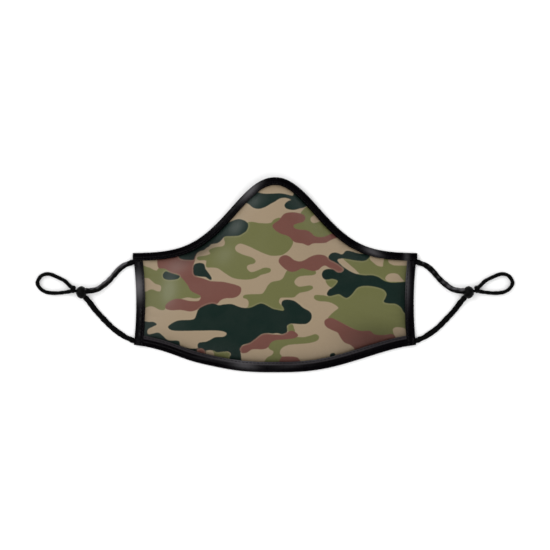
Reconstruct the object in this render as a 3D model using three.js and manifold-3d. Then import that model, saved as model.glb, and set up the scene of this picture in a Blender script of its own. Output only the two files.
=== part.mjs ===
// A bound cloth face mask with two adjustable elastic ear loops, lying on a table with its hollow side down.
// Millimetres. +X runs along the long side, +Y towards the nose, +Z out through the printed face.
// The origin is under the middle of the bound cloth, on the table. "left" is the -X side.
import * as THREE from "three";
import { mergeVertices } from "three/addons/utils/BufferGeometryUtils.js";
import Module from "manifold-3d";

const wasm = await Module();
wasm.setup();

// ---- Outline, measured to the outside of the tapes ----
const TOP_HALF_WIDTH = 110.8;
const BOTTOM_HALF_WIDTH = 110;
const SIDE_BOW = 2.2; // how far the short sides curve in at mid height
const SIDE_HEIGHT = 71.3; // bottom corner to top corner
const NOSE_PEAK = 58.9; // the nose peak's height above the top corners
const NOSE_SPREAD = 47;
const NOSE_POWER = 2.1;
const CHIN_DROP = 23.6; // full depth of the chin's curve
const CHIN_SPREAD = 80;
const CHIN_POWER = 2.8;

// ---- Shape of the cloth between the tapes ----
const DOME_HEIGHT = 29;
const DOME_SIDE_POWER = 2.3;
const DOME_RISE_POWER = 0.85;
const NOSE_LIFT = 8; // the shaped nose stands this far off the table
const NOSE_LIFT_SPREAD = 30;

// ---- Plies, from the face side inwards ----
const OUTER_PLY = 0.45;
const FILTER_PLY = 0.35;
const LINING_PLY = 0.4;
const PLY_GAP = 0.2;

// ---- Tapes: each is folded round the cloth's edge ----
const TAPE = 0.55;
const SLOT_CLEARANCE = 0.25; // between a tape's inside and the plies, each way
const TOP_TAPE_WIDTH = 6.1;
const BOTTOM_TAPE_WIDTH = 8.2;
const SIDE_TAPE_WIDTH = 7;
const BOTTOM_TUCK = 1.2; // from a tape's fold to the cloth's edge inside it
const FOLD_CHAMFER = 0.5;
const TAPE_EASE = 0.8; // the cloth starts to rise this far past a tape's inner edge
const BUTT_GAP = 0.25; // between a tape's end and the tape that crosses it

// ---- Nose wire, in the top tape's fold ----
const WIRE_DIAMETER = 1.5;
const WIRE_HALF_SPAN = 45;
const WIRE_CLEARANCE = 0.3;

// ---- Stitching ----
const THREAD_WIDTH = 0.5;
const THREAD_HEIGHT = 0.35;
const THREAD_GAP = 0.05; // above the tape it lies on
const SEAM_INSET = 1.1; // from a tape's inner edge to its line of stitches
const TACK_LENGTH = 4.6;
const TACK_WIDTH = 1.3;

// ---- Elastic: a soft knitted cord, flat where it is free and squeezed where it is held ----
const ELASTIC_WIDTH = 4.3;
const ELASTIC_THICKNESS = 2.6;
const HELD_WIDTH = 3.8; // where it is sewn inside the side tape
const HELD_THICKNESS = 1.5;
const NECK_DIAMETER = 2.1; // where both runs pass through the stopper
const TAIL_WIDTH = 2.9;
const TAIL_HEIGHT = 3.4;
const ELASTIC_CLEARANCE = 0.3;
const SEWN_DEPTH = 4.6; // how far an end reaches into the side tape
const END_ROOM = 0.4; // from an elastic's sewn end to the cloth's edge
const HINGE_REACH = 2.4; // from the side edge to the line that a loop turns about
const HINGE_GAP = 0.07 * ELASTIC_WIDTH; // each side of that line: a slanting run needs room for its width
const UPPER_EXIT_DROP = 2.2; // below the top tape's inner edge
const LOWER_EXIT_RISE = 3.1; // above the bottom corner
const LEAD_OUT = 1.4; // a run starts this far straight out from the hinge line
const LEAD_FALL = 0.4;
const EXIT_SLANT = 0.5; // an end's fall or rise between the side tape and the hinge line

// ---- Stopper bead and knot, placed outwards from the hinge line ----
const BEAD_LENGTH = 8.2;
const BEAD_WIDTH = 9.8;
const BEAD_HEIGHT = 8.4;
const BEAD_OUT = 37.4;
const BEAD_Y = -13.5;
const KNOT_LENGTH = 4.6;
const KNOT_WIDTH = 6.6;
const KNOT_HEIGHT = 5.4;
const KNOT_OUT = 44.2;
const KNOT_Y = -11.1;

// Routes of the elastic, as [outwards from the hinge line, y, z]. The first point comes from the exit.
const UPPER_ROUTE = [
  [5.3, 6, 1.5],
  [9.4, 2.6, 1.45],
  [13, -1.4, 1.6],
  [16.8, -5, 2],
  [20.8, -8.2, 2.6],
  [24.6, -10.6, 3.4],
  [28.5, -12, 4.3],
  [31.8, -12.4, 4.9],
  [34.4, -12.3, 5.3],
  [37.3, -12.3, 5.4],
  [39.8, -12.5, 5.3],
  [42, -12.5, 4.6],
];
const LOWER_ROUTE = [
  [6.1, -47.2, 1.5],
  [13, -41.6, 1.4],
  [20, -34.7, 1.4],
  [27, -27, 1.7],
  [31.4, -21.1, 2.3],
  [34.4, -17.6, 2.8],
  [37.1, -14.9, 3],
  [39.6, -13.2, 3],
  [42, -12.5, 2.3],
];
const TAIL_ROUTE = [
  [45.2, -9.6, 2.3],
  [46.8, -8.3, 2.1],
  [50.5, -4.7, 1.8],
  [56.8, -1.5, 1.75],
  [61, 0.3, 1.75],
  [64.1, 0.8, 1.75],
  [68.8, -0.6, 1.75],
  [71.9, -6, 1.75],
  [69.9, -10.2, 1.75],
  [66.2, -12.9, 1.75],
  [62, -13.9, 1.75],
  [56.8, -14.1, 1.75],
  [51.5, -13.6, 1.8],
  [47, -12.9, 2.1],
  [45.2, -12.4, 2.3],
];
const SQUEEZE_START = 31; // outwards from the hinge line, where the runs start to narrow
const SQUEEZE_END = 36.5;

// ---- Fineness of the faceted solids ----
const CLOTH_COLUMNS = 30;
const COLUMN_CROWDING = 0.25; // share by which columns crowd towards the nose, where the outline turns most
const CLOTH_ROWS = 12;
const TOP_STEPS = 44;
const BOTTOM_STEPS = 34;
const SIDE_STEPS = 12;
const END_STEPS = 7;
const ROUND_SIDES = 8;
const BEAD_SIDES = 14;
const BEAD_RINGS = 9;
const EDGE_SAMPLES = 240;
const EDGE_PASSES = 4; // rounds of finding where a column meets the leaning side edge
const STRAND_STEPS = 18;
const TAIL_STEPS = 26;

// ---- Sizes that follow from the ones above ----
const PLIES_THICKNESS = OUTER_PLY + FILTER_PLY + LINING_PLY + 2 * PLY_GAP;
const TAPE_HEIGHT = PLIES_THICKNESS + 2 * SLOT_CLEARANCE + 2 * TAPE;
const MID_HEIGHT = TAPE_HEIGHT / 2;
const WIRE_INSET = TAPE + WIRE_CLEARANCE + WIRE_DIAMETER / 2;
const TOP_TUCK = WIRE_INSET + WIRE_DIAMETER / 2 + WIRE_CLEARANCE;
const SIDE_TUCK = SEWN_DEPTH + END_ROOM;
const CHIN_DEPTH = CHIN_DROP * (1 - Math.exp(-((BOTTOM_HALF_WIDTH / CHIN_SPREAD) ** CHIN_POWER)));
const TOP_CORNER_Y = (SIDE_HEIGHT + CHIN_DEPTH - NOSE_PEAK) / 2;
const BOTTOM_CORNER_Y = TOP_CORNER_Y - SIDE_HEIGHT;
const CHIN_Y = BOTTOM_CORNER_Y - CHIN_DEPTH;
const HINGE_X = TOP_HALF_WIDTH + HINGE_REACH;
const UPPER_EXIT_Y = TOP_CORNER_Y - TOP_TAPE_WIDTH - UPPER_EXIT_DROP;
const LOWER_EXIT_Y = BOTTOM_CORNER_Y + LOWER_EXIT_RISE;

const { lerp, clamp, smoothstep } = THREE.MathUtils;

// ---- Solids from points ----

// One closed body from points and triangles, turned to face outwards whichever way round they were listed.
function closedGeometry(points, triangles) {
  let volume = 0;
  for (const [a, b, c] of triangles) {
    volume += points[a].dot(new THREE.Vector3().crossVectors(points[b], points[c]));
  }
  const faces = volume < 0 ? triangles.map(([a, b, c]) => [a, c, b]) : triangles;
  const geometry = new THREE.BufferGeometry().setFromPoints(points);
  geometry.setIndex(faces.flat());
  return geometry;
}

// A solid through rings of points that match one to one. section is the rings' shape, flat, for closing both
// ends.
function loft(rings, section) {
  const count = section.length;
  const triangles = [];
  for (let r = 0; r + 1 < rings.length; r++) {
    for (let i = 0; i < count; i++) {
      const a = r * count + i;
      const b = r * count + ((i + 1) % count);
      triangles.push([a, b, b + count], [a, b + count, a + count]);
    }
  }
  const cap = THREE.ShapeUtils.triangulateShape(section.map(([x, y]) => new THREE.Vector2(x, y)), []);
  const last = (rings.length - 1) * count;
  const clockwise = THREE.ShapeUtils.isClockWise(section.map(([x, y]) => new THREE.Vector2(x, y)));
  for (const [a, b, c] of cap) {
    const start = clockwise ? [a, b, c] : [a, c, b];
    const end = clockwise ? [a, c, b] : [a, b, c];
    triangles.push(start, end.map((i) => i + last));
  }
  return closedGeometry(rings.flat(), triangles);
}

// An oval section, as flat points.
function oval(halfAcross, halfHigh, sides) {
  const points = [];
  for (let i = 0; i < sides; i++) {
    const angle = ((i + 0.5) / sides) * 2 * Math.PI;
    points.push([halfAcross * Math.cos(angle), halfHigh * Math.sin(angle)]);
  }
  return points;
}

// A cord along a route. sizeAt gives [width, height] for a place on it, and grow adds that much all round and at
// the ends.
function cord(route, steps, sizeAt, grow = 0) {
  const curve = new THREE.CatmullRomCurve3(route, false, "centripetal");
  const up = new THREE.Vector3(0, 0, 1);
  const rings = [];
  for (let i = 0; i <= steps; i++) {
    const middle = curve.getPointAt(i / steps);
    const along = curve.getTangentAt(i / steps);
    const across = new THREE.Vector3().crossVectors(up, along).normalize();
    const above = new THREE.Vector3().crossVectors(along, across);
    const [width, height] = sizeAt(middle);
    if (i === 0) middle.addScaledVector(along, -grow);
    if (i === steps) middle.addScaledVector(along, grow);
    const section = oval(width / 2 + grow, height / 2 + grow, ROUND_SIDES);
    rings.push(section.map(([s, t]) => middle.clone().addScaledVector(across, s).addScaledVector(above, t)));
  }
  return loft(rings, oval(1, 1, ROUND_SIDES));
}

// ---- Joins and cuts ----

function toSolid(geometry) {
  const bare = new THREE.BufferGeometry().setAttribute("position", geometry.getAttribute("position"));
  bare.setIndex(geometry.index);
  const merged = mergeVertices(bare, 1e-4);
  const mesh = new wasm.Mesh({
    numProp: 3,
    vertProperties: new Float32Array(merged.attributes.position.array),
    triVerts: new Uint32Array(merged.index.array),
  });
  return new wasm.Manifold(mesh);
}

// geometry with every one of the cutters taken out of it
function cut(geometry, cutters) {
  const solid = cutters.reduce((left, cutter) => left.subtract(toSolid(cutter)), toSolid(geometry));
  const mesh = solid.getMesh();
  const result = new THREE.BufferGeometry();
  result.setAttribute("position", new THREE.BufferAttribute(mesh.vertProperties, 3));
  result.setIndex(new THREE.BufferAttribute(mesh.triVerts, 1));
  return result;
}

// ---- Outline ----

function topEdge(x) {
  return TOP_CORNER_Y + NOSE_PEAK * Math.exp(-((Math.abs(x) / NOSE_SPREAD) ** NOSE_POWER));
}

function bottomEdge(x) {
  return CHIN_Y + CHIN_DROP * (1 - Math.exp(-((Math.abs(x) / CHIN_SPREAD) ** CHIN_POWER)));
}

// Half the mask's width at a height between the bottom and top corners.
function halfWidth(y) {
  const share = clamp((y - BOTTOM_CORNER_Y) / SIDE_HEIGHT, 0, 1);
  return lerp(BOTTOM_HALF_WIDTH, TOP_HALF_WIDTH, share) - SIDE_BOW * 4 * share * (1 - share);
}

// The unit direction into the mask from an edge, in the XY plane. inwards is -1 on the top edge and 1 on the
// bottom.
function inwardDirection(edge, x, inwards) {
  const step = 0.01;
  const slope = (edge(x + step) - edge(x - step)) / (2 * step);
  return new THREE.Vector2(-slope * inwards, inwards).normalize();
}

// The edge moved in by inset, as a function of x.
function insetEdge(edge, inset, inwards) {
  const reach = TOP_HALF_WIDTH + inset;
  const points = [];
  for (let i = 0; i <= EDGE_SAMPLES; i++) {
    const x = lerp(-reach, reach, i / EDGE_SAMPLES);
    const inward = inwardDirection(edge, x, inwards);
    points.push([x + inset * inward.x, edge(x) + inset * inward.y]);
  }
  return (x) => {
    const next = clamp(points.findIndex((p) => p[0] > x), 1, EDGE_SAMPLES);
    const [x0, y0] = points[next - 1];
    const [x1, y1] = points[next];
    return lerp(y0, y1, (x - x0) / (x1 - x0));
  };
}

// How far the top edge stands off the table.
function noseLift(x) {
  return NOSE_LIFT * Math.exp(-((x / NOSE_LIFT_SPREAD) ** 2));
}

// ---- Cloth plies ----

// Stations across the cloth: a tucked one inside the tape, then from the tape's inner edge across to the other
// one.
function stations(from, to, count, crowding) {
  const open = Array.from({ length: count + 1 }, (_, i) => {
    const even = lerp(from, to, i / count);
    return { share: even * (1 - crowding * (1 - even ** 2)), tucked: false };
  });
  return [{ share: from, tucked: true }, ...open, { share: to, tucked: true }];
}

const visibleTop = insetEdge(topEdge, TOP_TAPE_WIDTH + TAPE_EASE, -1);
const visibleBottom = insetEdge(bottomEdge, BOTTOM_TAPE_WIDTH + TAPE_EASE, 1);
const tuckedTop = insetEdge(topEdge, TOP_TUCK, -1);
const tuckedBottom = insetEdge(bottomEdge, BOTTOM_TUCK, 1);

// The middle of the stack of plies at one column and row.
function clothMiddle(column, row) {
  const sideInset = column.tucked ? SIDE_TUCK : SIDE_TAPE_WIDTH + TAPE_EASE;
  const lowEdge = row.tucked ? tuckedBottom : visibleBottom;
  const highEdge = row.tucked ? tuckedTop : visibleTop;
  let x = BOTTOM_HALF_WIDTH * column.share;
  let y = lerp(lowEdge(x), highEdge(x), row.share);
  for (let pass = 0; pass < EDGE_PASSES; pass++) {
    x = column.share * (halfWidth(y) - sideInset);
    y = lerp(lowEdge(x), highEdge(x), row.share);
  }
  const across = 1 - Math.abs(column.share) ** DOME_SIDE_POWER;
  const upwards = (4 * row.share * (1 - row.share)) ** DOME_RISE_POWER;
  const lift = noseLift(x) * smoothstep(row.share, 0, 1);
  return new THREE.Vector3(x, y, MID_HEIGHT + lift + DOME_HEIGHT * across * upwards);
}

const columns = stations(-1, 1, CLOTH_COLUMNS, COLUMN_CROWDING);
const rows = stations(0, 1, CLOTH_ROWS, 0);
const middles = rows.map((row) => columns.map((column) => clothMiddle(column, row)));

// The direction out of the cloth at a grid point: the mean of the directions of the squares round it.
function clothNormal(r, c) {
  const normal = new THREE.Vector3();
  for (const [dr, dc] of [[1, 1], [1, -1], [-1, -1], [-1, 1]]) {
    const next = middles[r + dr]?.[c];
    const beside = middles[r]?.[c + dc];
    if (next && beside) {
      const up = next.clone().sub(middles[r][c]).multiplyScalar(dr);
      const right = beside.clone().sub(middles[r][c]).multiplyScalar(dc);
      normal.add(right.cross(up).normalize());
    }
  }
  return normal.normalize();
}

const normals = middles.map((line, r) => line.map((_, c) => clothNormal(r, c)));

// One ply: a slab between two distances from the middle of the stack.
function ply(low, high) {
  const width = columns.length;
  const layer = rows.length * width;
  const points = [low, high].flatMap((distance) =>
    middles.flatMap((line, r) => line.map((middle, c) => middle.clone().addScaledVector(normals[r][c], distance))),
  );
  const triangles = [];
  for (let r = 0; r + 1 < rows.length; r++) {
    for (let c = 0; c + 1 < width; c++) {
      const a = r * width + c;
      triangles.push([a, a + width, a + 1], [a + 1, a + width, a + width + 1]);
      triangles.push([a + layer, a + 1 + layer, a + width + layer]);
      triangles.push([a + 1 + layer, a + width + 1 + layer, a + width + layer]);
    }
  }
  const rim = [];
  for (let c = 0; c < width; c++) rim.push(c);
  for (let r = 1; r < rows.length; r++) rim.push(r * width + width - 1);
  for (let c = width - 2; c >= 0; c--) rim.push((rows.length - 1) * width + c);
  for (let r = rows.length - 2; r > 0; r--) rim.push(r * width);
  rim.forEach((a, i) => {
    const b = rim[(i + 1) % rim.length];
    triangles.push([a, b, b + layer], [a, b + layer, a + layer]);
  });
  return closedGeometry(points, triangles);
}

// ---- Tapes, wire and threads, each swept along an edge ----

// A tape folded into a U. Across is measured inwards from the fold, and up from the table.
function tapeSection(width) {
  return [
    [FOLD_CHAMFER, 0],
    [width, 0],
    [width, TAPE],
    [TAPE, TAPE],
    [TAPE, TAPE_HEIGHT - TAPE],
    [width, TAPE_HEIGHT - TAPE],
    [width, TAPE_HEIGHT],
    [FOLD_CHAMFER, TAPE_HEIGHT],
    [0, TAPE_HEIGHT - FOLD_CHAMFER],
    [0, FOLD_CHAMFER],
  ];
}

// A thread's flat section on top of a tape of that width.
function threadSection(width) {
  const middle = width - SEAM_INSET;
  const floor = TAPE_HEIGHT + THREAD_GAP;
  return [
    [middle - THREAD_WIDTH / 2, floor],
    [middle + THREAD_WIDTH / 2, floor],
    [middle + THREAD_WIDTH / 4, floor + THREAD_HEIGHT],
    [middle - THREAD_WIDTH / 4, floor + THREAD_HEIGHT],
  ];
}

// A section swept along the top or bottom edge between -reach and reach. Its ends are cut square to X.
function alongEdge(edge, inwards, section, reach, steps, lift) {
  const squareFrom = reach - 2 * SIDE_TAPE_WIDTH;
  const rings = [];
  for (let i = 0; i <= steps; i++) {
    const x = lerp(-reach, reach, i / steps);
    const inward = inwardDirection(edge, x, inwards);
    const square = smoothstep(Math.abs(x), squareFrom, reach);
    const straight = inwards / Math.abs(inward.y);
    const direction = new THREE.Vector2(lerp(inward.x, 0, square), lerp(inward.y, straight, square));
    rings.push(
      section.map(([s, z]) => {
        const inside = x + s * direction.x;
        return new THREE.Vector3(inside, edge(x) + s * direction.y, z + lift(inside));
      }),
    );
  }
  return loft(rings, section);
}

// A section swept up a short side, from the bottom edge to just under the top tape.
function alongSide(side, section) {
  const underTop = insetEdge(topEdge, TOP_TAPE_WIDTH + BUTT_GAP, -1);
  const rings = [];
  for (let i = 0; i <= SIDE_STEPS; i++) {
    const share = i / SIDE_STEPS;
    const edge = halfWidth(lerp(BOTTOM_CORNER_Y, underTop(TOP_HALF_WIDTH), share));
    rings.push(
      section.map(([s, z]) => {
        const x = edge - s;
        return new THREE.Vector3(side * x, lerp(bottomEdge(x), underTop(x), share), z);
      }),
    );
  }
  return loft(rings, section);
}

const flat = () => 0;

// ---- Elastic ----

// The two sewn ends of one side: where each crosses the side tape, and which way it slants outside.
const EXITS = {
  upper: { y: UPPER_EXIT_Y, slant: -EXIT_SLANT },
  lower: { y: LOWER_EXIT_Y, slant: EXIT_SLANT },
};

// A sewn end, from inside the side tape out to the hinge line, flat inside the tape and full outside it. Its
// inner end is cut along the mask's side edge and its outer end is square to the hinge line.
function elasticEnd(side, exit, grow) {
  const edge = halfWidth(exit.y);
  const start = edge - SEWN_DEPTH - grow;
  const end = HINGE_X - HINGE_GAP;
  const rings = [];
  for (let i = 0; i <= END_STEPS; i++) {
    const share = i / END_STEPS;
    const x = lerp(start, end, share);
    const lean = (s) => (halfWidth(exit.y + s) - edge) * (1 - share);
    const outside = smoothstep(x, edge, end);
    const width = lerp(HELD_WIDTH, ELASTIC_WIDTH, outside) / 2 + grow;
    const height = lerp(HELD_THICKNESS, ELASTIC_THICKNESS, outside) / 2 + grow;
    const y = exit.y + exit.slant * clamp((x - edge) / (HINGE_X - edge), 0, 1);
    rings.push(
      oval(width, height, ROUND_SIDES).map(
        ([s, t]) => new THREE.Vector3(side * (x + lean(s)), y + s, MID_HEIGHT + t),
      ),
    );
  }
  return loft(rings, oval(1, 1, ROUND_SIDES));
}

// A route's points on one side, as vectors.
function placed(side, route) {
  return route.map(([out, y, z]) => new THREE.Vector3(side * (HINGE_X + out), y, z));
}

// A run of elastic from the hinge line, through the stopper, to the knot.
function strand(side, exit, route, grow = 0) {
  const first = new THREE.Vector3(side * (HINGE_X + HINGE_GAP), exit.y + exit.slant, MID_HEIGHT);
  const second = first.clone().add(new THREE.Vector3(side * LEAD_OUT, Math.sign(exit.slant) * LEAD_FALL, 0));
  const sizeAt = (point) => {
    const squeeze = smoothstep(Math.abs(point.x) - HINGE_X, SQUEEZE_START, SQUEEZE_END);
    return [lerp(ELASTIC_WIDTH, NECK_DIAMETER, squeeze), lerp(ELASTIC_THICKNESS, NECK_DIAMETER, squeeze)];
  };
  return cord([first, second, ...placed(side, route)], STRAND_STEPS, sizeAt, grow);
}

function tail(side, grow = 0) {
  return cord(placed(side, TAIL_ROUTE), TAIL_STEPS, () => [TAIL_WIDTH, TAIL_HEIGHT], grow);
}

// A rounded lump of a length along X, a width along Y and a height along Z. A higher power makes it squarer.
function lump(center, size, power) {
  const rings = [];
  for (let i = 0; i <= BEAD_RINGS; i++) {
    const along = lerp(-0.985, 0.985, i / BEAD_RINGS);
    const radius = (1 - Math.abs(along) ** power) ** (1 / power) / 2;
    rings.push(
      oval(size.y * radius, size.z * radius, BEAD_SIDES).map(
        ([s, t]) => new THREE.Vector3(center.x + (along * size.x) / 2, center.y + s, center.z + t),
      ),
    );
  }
  return loft(rings, oval(1, 1, BEAD_SIDES));
}

// Everything that passes through the stopper and into the knot, thickened by the clearance.
function cordCutters(side) {
  return [
    strand(side, EXITS.upper, UPPER_ROUTE, ELASTIC_CLEARANCE),
    strand(side, EXITS.lower, LOWER_ROUTE, ELASTIC_CLEARANCE),
    tail(side, ELASTIC_CLEARANCE),
  ];
}

function stopperBead(side) {
  const center = new THREE.Vector3(side * (HINGE_X + BEAD_OUT), BEAD_Y, BEAD_HEIGHT / 2);
  const body = lump(center, new THREE.Vector3(BEAD_LENGTH, BEAD_WIDTH, BEAD_HEIGHT), 2.4);
  return cut(body, cordCutters(side));
}

function cordKnot(side) {
  const center = new THREE.Vector3(side * (HINGE_X + KNOT_OUT), KNOT_Y, KNOT_HEIGHT / 2 + 0.3);
  const body = lump(center, new THREE.Vector3(KNOT_LENGTH, KNOT_WIDTH, KNOT_HEIGHT), 2.2);
  return cut(body, cordCutters(side));
}

// A short block of satin stitches on top of the side tape, over a sewn end.
function barTack(side, exit) {
  const middle = halfWidth(exit.y) - SEWN_DEPTH / 2;
  const floor = TAPE_HEIGHT + THREAD_GAP;
  const section = threadSection(0).map(([s, z]) => [((s + SEAM_INSET) * TACK_WIDTH) / THREAD_WIDTH, z - floor]);
  const rings = [-TACK_LENGTH / 2, TACK_LENGTH / 2].map((offset) =>
    section.map(([s, z]) => new THREE.Vector3(side * (middle + s), exit.y + offset, floor + z)),
  );
  return loft(rings, section);
}

// ---- The assembly ----

const FINISHES = {
  camoCloth: { color: 0x6f6a4c, roughness: 0.85, metalness: 0 },
  filterFelt: { color: 0xe6e4df, roughness: 0.95, metalness: 0 },
  liningCloth: { color: 0x1c1b1e, roughness: 0.9, metalness: 0 },
  bindingTape: { color: 0x121114, roughness: 0.6, metalness: 0 },
  elasticCord: { color: 0x101012, roughness: 0.75, metalness: 0 },
  silicone: { color: 0x141416, roughness: 0.45, metalness: 0 },
  sewingThread: { color: 0x242326, roughness: 0.55, metalness: 0 },
  coatedWire: { color: 0xc9c9c4, roughness: 0.4, metalness: 0.6 },
};

function addPiece(parent, name, geometry, finish) {
  const mesh = new THREE.Mesh(geometry, new THREE.MeshStandardMaterial(FINISHES[finish]));
  mesh.name = name;
  parent.add(mesh);
}

function addPlies(parent) {
  const bottom = -PLIES_THICKNESS / 2;
  const filterBottom = bottom + LINING_PLY + PLY_GAP;
  const outerBottom = filterBottom + FILTER_PLY + PLY_GAP;
  addPiece(parent, "lining_panel", ply(bottom, bottom + LINING_PLY), "liningCloth");
  addPiece(parent, "filter_layer", ply(filterBottom, filterBottom + FILTER_PLY), "filterFelt");
  addPiece(parent, "outer_panel", ply(outerBottom, outerBottom + OUTER_PLY), "camoCloth");
}

function addTopEdge(parent) {
  const sweep = (section, reach) => alongEdge(topEdge, -1, section, reach, TOP_STEPS, noseLift);
  addPiece(parent, "top_binding", sweep(tapeSection(TOP_TAPE_WIDTH), TOP_HALF_WIDTH), "bindingTape");
  addPiece(parent, "top_seam_thread", sweep(threadSection(TOP_TAPE_WIDTH), TOP_HALF_WIDTH), "sewingThread");
  const radius = WIRE_DIAMETER / 2;
  const wire = oval(radius, radius, ROUND_SIDES).map(([s, t]) => [WIRE_INSET + s, MID_HEIGHT + t]);
  addPiece(parent, "nose_wire", sweep(wire, WIRE_HALF_SPAN), "coatedWire");
}

function addBottomEdge(parent) {
  const corner = bottomEdge(BOTTOM_HALF_WIDTH);
  const narrowest = Math.min(halfWidth(corner), halfWidth(corner + BOTTOM_TAPE_WIDTH));
  const reach = narrowest - SIDE_TAPE_WIDTH - BUTT_GAP;
  const sweep = (section) => alongEdge(bottomEdge, 1, section, reach, BOTTOM_STEPS, flat);
  addPiece(parent, "bottom_binding", sweep(tapeSection(BOTTOM_TAPE_WIDTH)), "bindingTape");
  addPiece(parent, "bottom_seam_thread", sweep(threadSection(BOTTOM_TAPE_WIDTH)), "sewingThread");
}

// One short side: its tape with two slits for the elastic, its stitching, and the two sewn ends with their
// tacks.
function addSideEdge(parent, name, side) {
  const slits = Object.values(EXITS).map((exit) => elasticEnd(side, exit, ELASTIC_CLEARANCE));
  const tape = cut(alongSide(side, tapeSection(SIDE_TAPE_WIDTH)), slits);
  addPiece(parent, `${name}_side_binding`, tape, "bindingTape");
  const seam = alongSide(side, threadSection(SIDE_TAPE_WIDTH));
  addPiece(parent, `${name}_side_seam_thread`, seam, "sewingThread");
  for (const [level, exit] of Object.entries(EXITS)) {
    addPiece(parent, `${name}_${level}_elastic_end`, elasticEnd(side, exit, 0), "elasticCord");
    addPiece(parent, `${name}_${level}_bar_tack`, barTack(side, exit), "sewingThread");
  }
}

function earLoop(name, side) {
  const loop = new THREE.Group();
  addPiece(loop, `${name}_upper_strand`, strand(side, EXITS.upper, UPPER_ROUTE), "elasticCord");
  addPiece(loop, `${name}_lower_strand`, strand(side, EXITS.lower, LOWER_ROUTE), "elasticCord");
  addPiece(loop, `${name}_tail_loop`, tail(side), "elasticCord");
  addPiece(loop, `${name}_cord_knot`, cordKnot(side), "elasticCord");
  addPiece(loop, `${name}_stopper_bead`, stopperBead(side), "silicone");
  return loop;
}

const group = new THREE.Group();
const maskBody = new THREE.Group();
addPlies(maskBody);
addTopEdge(maskBody);
addBottomEdge(maskBody);
addSideEdge(maskBody, "left", -1);
addSideEdge(maskBody, "right", 1);
group.add(maskBody, earLoop("left", -1), earLoop("right", 1));

export default group;
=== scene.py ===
"""A bound camouflage face mask with two adjustable elastic ear loops, hollow side down on a table.

Metres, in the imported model's frame: +X along the long side, +Y towards the nose, and +Z out
through the printed face.
"""

import logging
import math
from dataclasses import dataclass, field
from enum import Enum
from typing import Callable

import bmesh
import bpy
import numpy as np
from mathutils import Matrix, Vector


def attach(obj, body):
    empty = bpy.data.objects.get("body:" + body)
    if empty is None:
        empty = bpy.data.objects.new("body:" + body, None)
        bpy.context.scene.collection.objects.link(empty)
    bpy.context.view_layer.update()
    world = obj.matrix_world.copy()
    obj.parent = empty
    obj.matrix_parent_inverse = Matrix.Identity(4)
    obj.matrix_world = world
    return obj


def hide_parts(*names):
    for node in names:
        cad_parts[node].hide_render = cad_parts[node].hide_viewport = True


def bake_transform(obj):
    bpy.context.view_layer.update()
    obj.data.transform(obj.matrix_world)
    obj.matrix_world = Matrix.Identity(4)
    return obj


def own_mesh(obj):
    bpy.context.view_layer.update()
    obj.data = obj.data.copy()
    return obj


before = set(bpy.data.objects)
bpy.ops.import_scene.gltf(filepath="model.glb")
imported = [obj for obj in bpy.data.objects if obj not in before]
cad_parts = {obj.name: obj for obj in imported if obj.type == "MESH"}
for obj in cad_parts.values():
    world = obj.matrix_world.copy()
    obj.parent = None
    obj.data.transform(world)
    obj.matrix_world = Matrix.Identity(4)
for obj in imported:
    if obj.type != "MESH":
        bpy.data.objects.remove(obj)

logging.basicConfig(level=logging.INFO, format="%(message)s")
log = logging.getLogger("mask")

MM = 0.001
UP = np.array([0.0, 0.0, 1.0])
THREAD_MAP = "thread"  # the UV map that runs along and across a fabric's threads
CENTRIPETAL = 0.5  # the power of its chords that spaces a smooth route's points
CURVE_STEPS = 24  # points between two of a route's own
SLOPE_STEP = 1e-5  # half the distance over which an edge's slope is measured
EDGE_SAMPLES = 481  # points along an edge that is moved inwards

Array = np.ndarray
Edge = Callable[[Array], Array]
Placing = Callable[[Array, Array, Array], Array]


class Side(Enum):
    """The two short sides of the mask, by the sign of X."""

    LEFT = -1
    RIGHT = 1

    @property
    def label(self) -> str:
        """The side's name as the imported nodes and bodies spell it."""
        return self.name.lower()


class Level(Enum):
    """The two sewn elastic ends on each short side."""

    UPPER = "upper"
    LOWER = "lower"


# ---- Small helpers for numbers and meshes ----


def smoothstep(value: Array, low: float, high: float) -> Array:
    """Rise smoothly from 0 at low to 1 at high."""
    share = np.clip((np.asarray(value, float) - low) / (high - low), 0, 1)
    return share * share * (3 - 2 * share)


def unit(vectors: Array) -> Array:
    """Scale each vector of an array to length 1."""
    return vectors / np.maximum(np.linalg.norm(vectors, axis=-1, keepdims=True), 1e-12)


def new_piece(name: str, points: Array, faces: list, smooth: bool = True) -> bpy.types.Object:
    """Make a mesh object at the origin.

    Args:
        name: The piece's name.
        points: Vertex places, one row each.
        faces: Vertex numbers of each face.
        smooth: Whether the faces are shaded smooth.

    Returns:
        The new object, linked to the scene.
    """
    mesh = bpy.data.meshes.new(name)
    places = [tuple(p) for p in np.asarray(points, float)]
    mesh.from_pydata(places, [], [tuple(int(i) for i in face) for face in faces])
    mesh.validate()
    mesh.update()
    work = bmesh.new()
    work.from_mesh(mesh)
    bmesh.ops.recalc_face_normals(work, faces=work.faces)
    work.to_mesh(mesh)
    work.free()
    mesh.polygons.foreach_set("use_smooth", [smooth] * len(mesh.polygons))
    piece = bpy.data.objects.new(name, mesh)
    bpy.context.scene.collection.objects.link(piece)
    return piece


def grid_faces(rows: int, columns: int, wrap: bool = False, first: int = 0) -> list:
    """List the quads of a grid of points stored row by row.

    Args:
        rows: Number of rows of points.
        columns: Number of points in a row.
        wrap: Whether each row closes on itself.
        first: Number of the grid's first point.

    Returns:
        The quads, each as four point numbers.
    """
    faces = []
    for r in range(rows - 1):
        for c in range(columns if wrap else columns - 1):
            a = first + r * columns + c
            b = first + r * columns + (c + 1) % columns
            faces.append((a, b, b + columns, a + columns))
    return faces


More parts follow.
